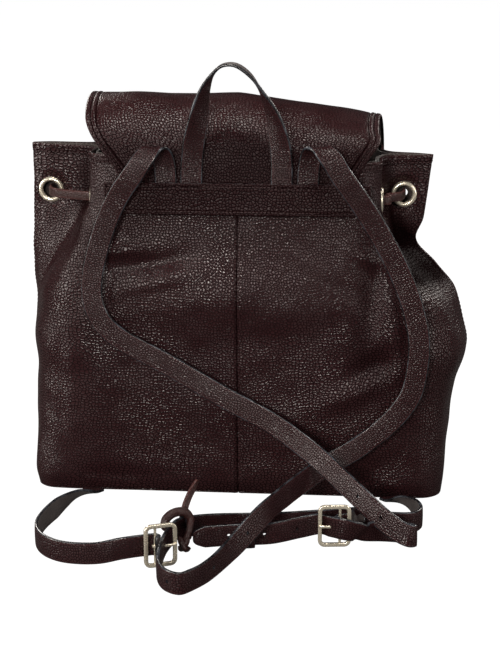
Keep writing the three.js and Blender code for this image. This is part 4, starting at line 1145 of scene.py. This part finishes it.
def lathe(name, profile, centre, axis, sides=56):
    """A ring or knob of metal turned from a closed profile of (radius, along the axis)."""
    axis = unit(np.array(axis, float))
    u = unit(np.cross(axis, [0.123, 0.456, 0.789]))
    v = np.cross(axis, u)
    a = turns(sides)
    prof = np.asarray(profile, float)
    around = np.cos(a)[:, None] * u + np.sin(a)[:, None] * v
    verts = np.asarray(centre, float) + around[:, None] * prof[None, :, :1] + axis * prof[None, :, 1:]
    idx = np.arange(sides * len(prof)).reshape(sides, -1)
    nxt = np.roll(idx, -1, axis=0)
    quads = zipped(idx, np.roll(idx, -1, axis=1), np.roll(nxt, -1, axis=1), nxt).reshape(-1, 4)
    obj = build(name, verts.reshape(-1, 3), quads, ["gold"])
    rework(obj, weld)
    obj.data.polygons.foreach_set("use_smooth", [True] * len(obj.data.polygons))
    return obj


# an eyelet from the outside in: a domed flange, a rolled throat, and a flatter washer behind
EYELET = [[10.5, 0.3], [10.35, 0.9], [9.8, 1.5], [9.0, 1.9], [8.2, 2.0], [7.8, 1.75], [7.25, 1.35], [6.9, 0.7],
          [6.8, 0.0], [6.8, -0.8], [7.0, -1.6], [7.6, -2.0], [8.9, -1.8], [10.0, -1.4], [10.4, -0.9], [10.5, -0.3]]
for name, centre, face in EYELETS:
    ride(lathe(name.replace("eyelet", "ring"), EYELET, centre, face), "bag", "gold", name)


def round_section(wide, deep, sides, flat):
    """An ellipse, or with flat above 0 a shape between it and a rectangle."""
    a = turns(sides, math.pi / sides)
    power = 2 / (2 + 6 * flat)
    x, y = (np.sign(f(a)) * np.abs(f(a)) ** power for f in (np.cos, np.sin))
    return zipped(x * wide, y * deep)


def loop_path(width, height, corner):
    """A rounded rectangle in its own plane, as (x, z) points."""
    x, y = width / 2 - corner, height / 2 - corner
    points = [[cx + corner * math.cos(a), cy + corner * math.sin(a)]
              for cx, cy, start in ((x, -y, -90), (x, y, 0), (-x, y, 90), (-x, -y, 180))
              for a in np.radians(np.linspace(start, start + 90, 10))]
    ring = np.array(points + points[:1])
    s = arc_length(ring)
    return along(ring, s, np.linspace(0, s[-1], 120, endpoint=False))


def turned(points, turn):
    c, s = math.cos(turn), math.sin(turn)
    x, y, z = np.moveaxis(np.asarray(points, float), -1, 0)
    return zipped(x * c - y * s, x * s + y * c, z)


def turned_sweep(name, centres, across, normal, section, at, turn, looks=("gold",), kinds=None, **more):
    """A sweep drawn in its own frame, then turned about the z axis and moved to its place."""
    return sweep(name, turned(centres, turn) + at, turned(across, turn), turned(normal, turn), section, list(looks),
                 kinds or [0] * len(section), **more)


BUCKLES = [("left", (-41.4, -225.4, 16.9), 0.42, -1), ("right", (83.5, -175, 16.9), 0.12, 1)]
FRAME_WIDE, FRAME_HIGH, ROD, BAR = 25, 33, 1.5, 4
FRONT, UP = [0.0, -1.0, 0.0], [0.0, 0.0, 1.0]


def buckle(side, at, turn, hand):
    """A frame with its bar, and a prong. hand is the side of the frame that the bar stands nearer to."""
    flat = loop_path(FRAME_WIDE - 2 * ROD, FRAME_HIGH - 2 * ROD, 3.6)
    path = zipped(flat[:, 0], 0, flat[:, 1])
    normal = same(FRONT, len(path))
    ring = turned_sweep("frame", path, unit(np.cross(loop_tangents(path), normal)), normal,
                        round_section(ROD, ROD, 16, 0.45), at, turn, closed=True)
    post = turned_sweep("post", np.linspace([hand * BAR, 0, -15], [hand * BAR, 0, 15], 24), same([1.0, 0, 0], 24),
                        same([0, 1.0, 0], 24), round_section(1.0, 1.0, 16, 0), at, turn)
    ride(merge(f"frame_gold_{side}", [ring, post]), f"frame_{side}", "gold", f"buckle_frame_{side}")
    # the prong's eye goes round the bar, and its finger thins and dips to rest on the far side
    bar_at = turned([hand * BAR, 0, 0], turn) + at
    a = turns(48)
    path = zipped(1.95 * np.cos(a), 1.95 * np.sin(a), 0)
    eye = turned_sweep("eye", path, np.cross(loop_tangents(path), UP), same(UP, 48), round_section(0.62, 1.1, 12, 0.3),
                       bar_at, turn, closed=True)
    share = np.linspace(0, 1, 30)
    reach = FRAME_WIDE / 2 + BAR - 0.6
    path = zipped(-hand * (1.2 + (reach - 1.2) * share),
                     -2.25 - 0.25 * np.sin(share * math.pi) + 0.35 * share**3, 0)
    taper = 1 - 0.25 * share**2
    taper[-3:] *= [0.95, 0.8, 0.45]
    finger = turned_sweep("finger", path, unit(np.cross(unit(np.gradient(path, axis=0)), UP)), same(UP, 30),
                          round_section(0.72, 1.0, 12, 0.2), bar_at, turn, scale=taper)
    ride(merge(f"prong_gold_{side}", [eye, finger]), f"prong_{side}", "gold", f"buckle_prong_{side}")


for each in BUCKLES:
    buckle(*each)

for name, y, body, way in (("magnet_socket", 70.9, "bag", 1), ("magnet_stud", 73.6, "flap", -1)):
    dish = 0.45 if way > 0 else 0.0
    profile = [[0.01, 1.2 - dish], [3.2, 1.2 - dish], [3.8, 1.2], [8.2, 1.2], [8.8, 0.9], [9, 0.3], [9, -0.3],
               [8.8, -0.9], [8.2, -1.2], [0.01, -1.2]]
    ride(lathe(name + "_plate", profile, (0, y, 140), (0, way, 0)), body, "gold", name)


# ---------------------------------------------------------------- lace
LACE_SHAPE = {"half": 3.75, "deep": 1.1, "looks": LACE, "soft": 4, "edge": 0.8}


def lace_side(side):
    """Half of the lace's way through the eyelets, from the middle of the back to the front."""
    s = -1 if side == "left" else 1
    ear, ridge = EAR_EYELET[side], RIDGE[side]
    table = [
        (60, -57, 0, -1), (ridge - 22, -55.4, 0, -1), (ridge - 8, -49, 0.5, -1), (ridge, -44, 0.2, -1),
        (ridge + 8, -42, 0.3, -1), (ear - 14, -33, 0.5, -1), (ear - 3, -23, 1, -0.8), (ear, -11, 1, 0),
        (ear, -3.5, 1, 0), (ear, 4, 1, 0), (ear - 3, 17, 1, 0.8), (ear - 14, 27, 0.5, 1), (ridge + 8, 35, 0.3, 1),
        (ridge, 37, 0.2, 1), (ridge - 8, 41, 0.5, 1), (ridge - 24, 48.6, 0.2, 1), (62, 50.4, 0, 1), (38, 50.4, 0, 1),
        (28, 52, 1, 1), (24, 57.2, 1, 0), (24, 62.6, 1, 0),
    ]
    return [(s * x, y, LACE_Z, s * nx, ny, 0) for x, y, nx, ny in table]


lace, (centres, across, normal, _) = strip("lace", lace_side("left")[::-1] + lace_side("right"), step=1.2, crown=0.35,
                                           **LACE_SHAPE)
lace_rows = [stitches("l", centres + across * reach + normal * 1.25, normal, 2.6, (1.9, 0.45, 0.4))
             for reach in (-2.5, 2.5)]
ride(lace, "bag", "lace", "drawstring")
ride(merge("lace_stitches", lace_rows), "bag", "thread")

TIP = [[0.01, 8], [1.2, 7.9], [1.8, 7.4], [2.0, 6.6], [2.0, 4.6], [2.35, 4.3], [2.35, 3.7], [2.05, 3.4], [2.3, -5],
       [2.6, -6.8], [2.4, -7.7], [1.8, -8], [0.01, -8]]
for side, s in (("left", -1), ("right", 1)):
    stations = [
        (s * 24, 63.2, 243, 0, 0, 1), (s * 23.8, 66.2, 242.2, 0, 0.5, 1), (s * 22.8, 68.6, 238.8, 0, 1, 0.5),
        (s * 18.4, 69.4, 233, 0, 1, 0), (s * 11.6, 69.4, 228.4, 0, 1, 0), (s * 8.8, 69.4, 223, 0, 1, 0),
        (s * 8.6, 69.4, 214, 0, 1, 0), (s * 8.6, 69.4, 198, 0, 1, 0), (s * 8.8, 69.5, 180, 0, 1, 0),
        (s * 11, 70.2, 170.5, 0, 1, 0), (s * 14.6, 71.4, 162.2, 0, 1, 0),
    ]
    tail, (centres, _, _, run) = strip(f"lace_tail_{side}", stations, step=1.0, crown=0.0, **LACE_SHAPE)
    tip = lathe(f"lace_tip_{side}", TIP, (s * 15.4, 71.8, 153.4), (0, 0, 1), 40)
    ride(tip, "bag", "gold", f"drawstring_end_{side}")
    ride(tail, "bag", "lace", f"drawstring_tail_{side}")


# ---------------------------------------------------------------- slider, keepers and the tie
def box_mesh(name, size, at, look, cuts=0):
    """A box whose edges are divided by cuts."""
    work = bmesh.new()
    bmesh.ops.create_cube(work, size=1.0)
    bmesh.ops.scale(work, vec=Vector(size) * MM, verts=work.verts)
    bmesh.ops.subdivide_edges(work, edges=work.edges, cuts=cuts, use_grid_fill=True)
    bmesh.ops.translate(work, vec=Vector(at) * MM, verts=work.verts)
    mesh = bpy.data.meshes.new(name)
    work.to_mesh(mesh)
    work.free()
    mesh.materials.append(LOOK[look])
    mesh.polygons.foreach_set("use_smooth", [True] * len(mesh.polygons))
    return place(name, mesh)


slider = box_mesh("slider_leather", (32, 5, 12), (0, 69.4, 209), "strap", 6)
punch(slider, [box_mesh("cutter", (8.7, 3, 20), (x, 69.4, 209), "edge") for x in (-8.6, 8.6)])
round_edges(slider, 0.6, 3)
slide_rows = [seam("s", (x, y, 204), (x, y, 214), 12, (0, face, 0), 2.4, size=(1.8, 0.6, 0.5), lift=0.0)
              for y, face in ((72.0, 1.0), (66.8, -1.0)) for x in (-14.4, 0.0, 14.4)]
ride(slider, "slider", "strap", "drawstring_slider")
ride(merge("slider_stitches", slide_rows), "slider", "thread")


def knot(name, path, radius, flat):
    """A length of lace pulled tight, swept along a path, with both ends tucked in."""
    points = catmull(np.array(path, float), np.linspace(0, 1, 90))
    tangent = unit(np.gradient(points, axis=0))
    across = unit(np.cross(tangent, [0.2, -0.9, 0.35]))
    normal = unit(np.cross(across, tangent))
    a = turns(18)
    section = zipped(radius * np.cos(a), radius * flat * np.sin(a))
    scale = np.sqrt(np.clip(1 - np.abs(2 * np.linspace(0, 1, len(points)) - 1) ** 8, 0.02, 1))
    return sweep(name, points, across, normal, section, LACE, [0] * len(section), scale=scale)


def keeper(name, at, turn, look, wide=8.0, thick=1.2):
    """A flat leather loop round a strap."""
    flat = loop_path(7.4 - thick, 21.8 - thick, 2.4)
    path = zipped(0, flat[:, 0], flat[:, 1])
    outward = unit(np.cross(loop_tangents(path), [1.0, 0, 0]))
    outward *= np.sign(np.sum(outward * path, axis=1, keepdims=True).mean())
    section, kinds, wear = strap_section(wide / 2, thick / 2, 0.1, 0.45, 7, 5, 5)
    return turned_sweep(name, path, same([1.0, 0, 0], len(path)), outward, section, at, turn, (look, "suede", "edge"),
                        kinds, closed=True, attributes={"wear": wear})


ride(keeper("loop_leather_left", (20, -183.6, 11.4), 0.2, "strap"), "loop_left", "strap", "keeper_left")
ride(keeper("loop_leather_right", (-28.6, -181.4, 14.6), 1.0, "lace", 6.4, 1.5), "loop_right", "lace", "keeper_right")
tie = [
    (-29.6, -182, 26.9, 0.3, -1, 0.2), (-28.4, -178.4, 32, 0.4, -1, 0.2), (-26.2, -174.6, 37.6, 0.6, -1, 0.2),
    (-23.2, -171.6, 43.4, 0.8, -0.9, 0.1), (-20.6, -170, 48.6, 1, -0.7, 0),
]
ride(strip("tie_lace", tie, 2.7, 1.1, LACE, step=0.8, tip=9, soft=3, crown=0.2, edge=0.7)[0], "loop_right", "lace",
     "tie_end")
tie_turns = [
    knot("arch", [[-42.5, -197, 17], [-41.6, -194.5, 25], [-36, -190.5, 29], [-28.4, -186.5, 28.4],
                  [-23, -184.6, 21]], 3.4, 0.8),
    knot("fall", [[-23.4, -185, 24.5], [-23.4, -190.5, 21.6], [-24.8, -197, 14.6], [-27, -201, 10.5]], 2.4, 0.8),
    knot("under", [[-30.6, -199, 4.8], [-28.6, -203.2, 6], [-26, -203.6, 9.4], [-24.4, -199.5, 12.6]], 2.3, 0.9),
    knot("over", [[-30.6, -199.5, 12.4], [-28.6, -204.2, 10.4], [-26, -204.8, 6.4], [-24, -200, 4.8]], 2.3, 0.9),
]
ride(merge("tie_knot", tie_turns), "loop_right", "lace")

# ---------------------------------------------------------------- inner pocket
x, z = np.meshgrid(np.linspace(75, -75, 76), np.linspace(72.5, 177.5, 54))
belly = 0.25 * np.sin(np.pi * (x + 75) / 150) * np.sin(np.pi * (z - 72.5) / 105)
hem = 0.2 * bell(177.5 - z, 5, 1.2)
pocket = slab("pocket_cloth", zipped(x, -62.1 + belly - hem, z), zipped(x, -63.1, z),
              CLOTH)
ride(pocket, "bag", "cloth", "inner_pocket")

# ---------------------------------------------------------------- stage and light
floor_mesh = bpy.data.meshes.new("floor")
LOOK["floor"] = pale_floor("pale_floor")
FLOOR_Z = -0.0002
floor_mesh.from_pydata([(-6, -4, FLOOR_Z), (6, -4, FLOOR_Z), (6, 8, FLOOR_Z), (-6, 8, FLOOR_Z)], [], [(0, 1, 2, 3)])
floor_mesh.materials.append(LOOK["floor"])
place("floor", floor_mesh)

WARM = (1.0, 0.94, 0.88)
for name, at, target, size, power in (
    ("top", (0.1, -0.3, 1.5), (0, -0.05, 0.2), (0.5, 0.3), 10),
    ("front", (-0.3, -1.95, 0.68), (0, -0.05, 0.15), (0.4, 0.16), 20),
    ("left", (-1.35, -1.1, 0.8), (0, -0.05, 0.15), (0.4, 0.6), 8),
    ("right", (1.3, -1.15, 0.8), (0, -0.05, 0.15), (0.35, 0.6), 5.5),
    ("rim_left", (-1.6, -0.45, 0.5), (0, -0.05, 0.15), (0.3, 0.9), 15),
    ("rim_right", (1.6, -0.45, 0.5), (0, -0.05, 0.15), (0.3, 0.9), 6),
    ("far_left", (-1.1, 1.5, 1.1), (0, 0, 0.15), (0.5, 0.6), 20),
    ("far_right", (1.2, 1.3, 1.0), (0, 0, 0.15), (0.4, 0.6), 14),
):
    data = bpy.data.lights.new(name, "AREA")
    data.shape = "RECTANGLE"
    data.size, data.size_y = size
    data.energy = power
    data.color = WARM
    aim(place(name, data), at, target)

# the sky is white to the camera and dim to the leather
world = bpy.data.worlds.new("world")
bpy.context.scene.world = world
world.use_nodes = True
tree = world.node_tree
seen, unseen = tree.nodes["Background"], tree.nodes.new("ShaderNodeBackground")
unseen.inputs[0].default_value = (0.94, 0.96, 1.0, 1)
unseen.inputs[1].default_value = 0.03
seen.inputs[0].default_value = (1, 1, 1, 1)
seen.inputs[1].default_value = 1.0
blend_sky, paths = tree.nodes.new("ShaderNodeMixShader"), tree.nodes.new("ShaderNodeLightPath")
tree.links.new(paths.outputs["Is Camera Ray"], blend_sky.inputs[0])
tree.links.new(unseen.outputs[0], blend_sky.inputs[1])
tree.links.new(seen.outputs[0], blend_sky.inputs[2])
tree.links.new(blend_sky.outputs[0], tree.nodes["World Output"].inputs[0])
bpy.context.scene.view_settings.view_transform = "Standard"
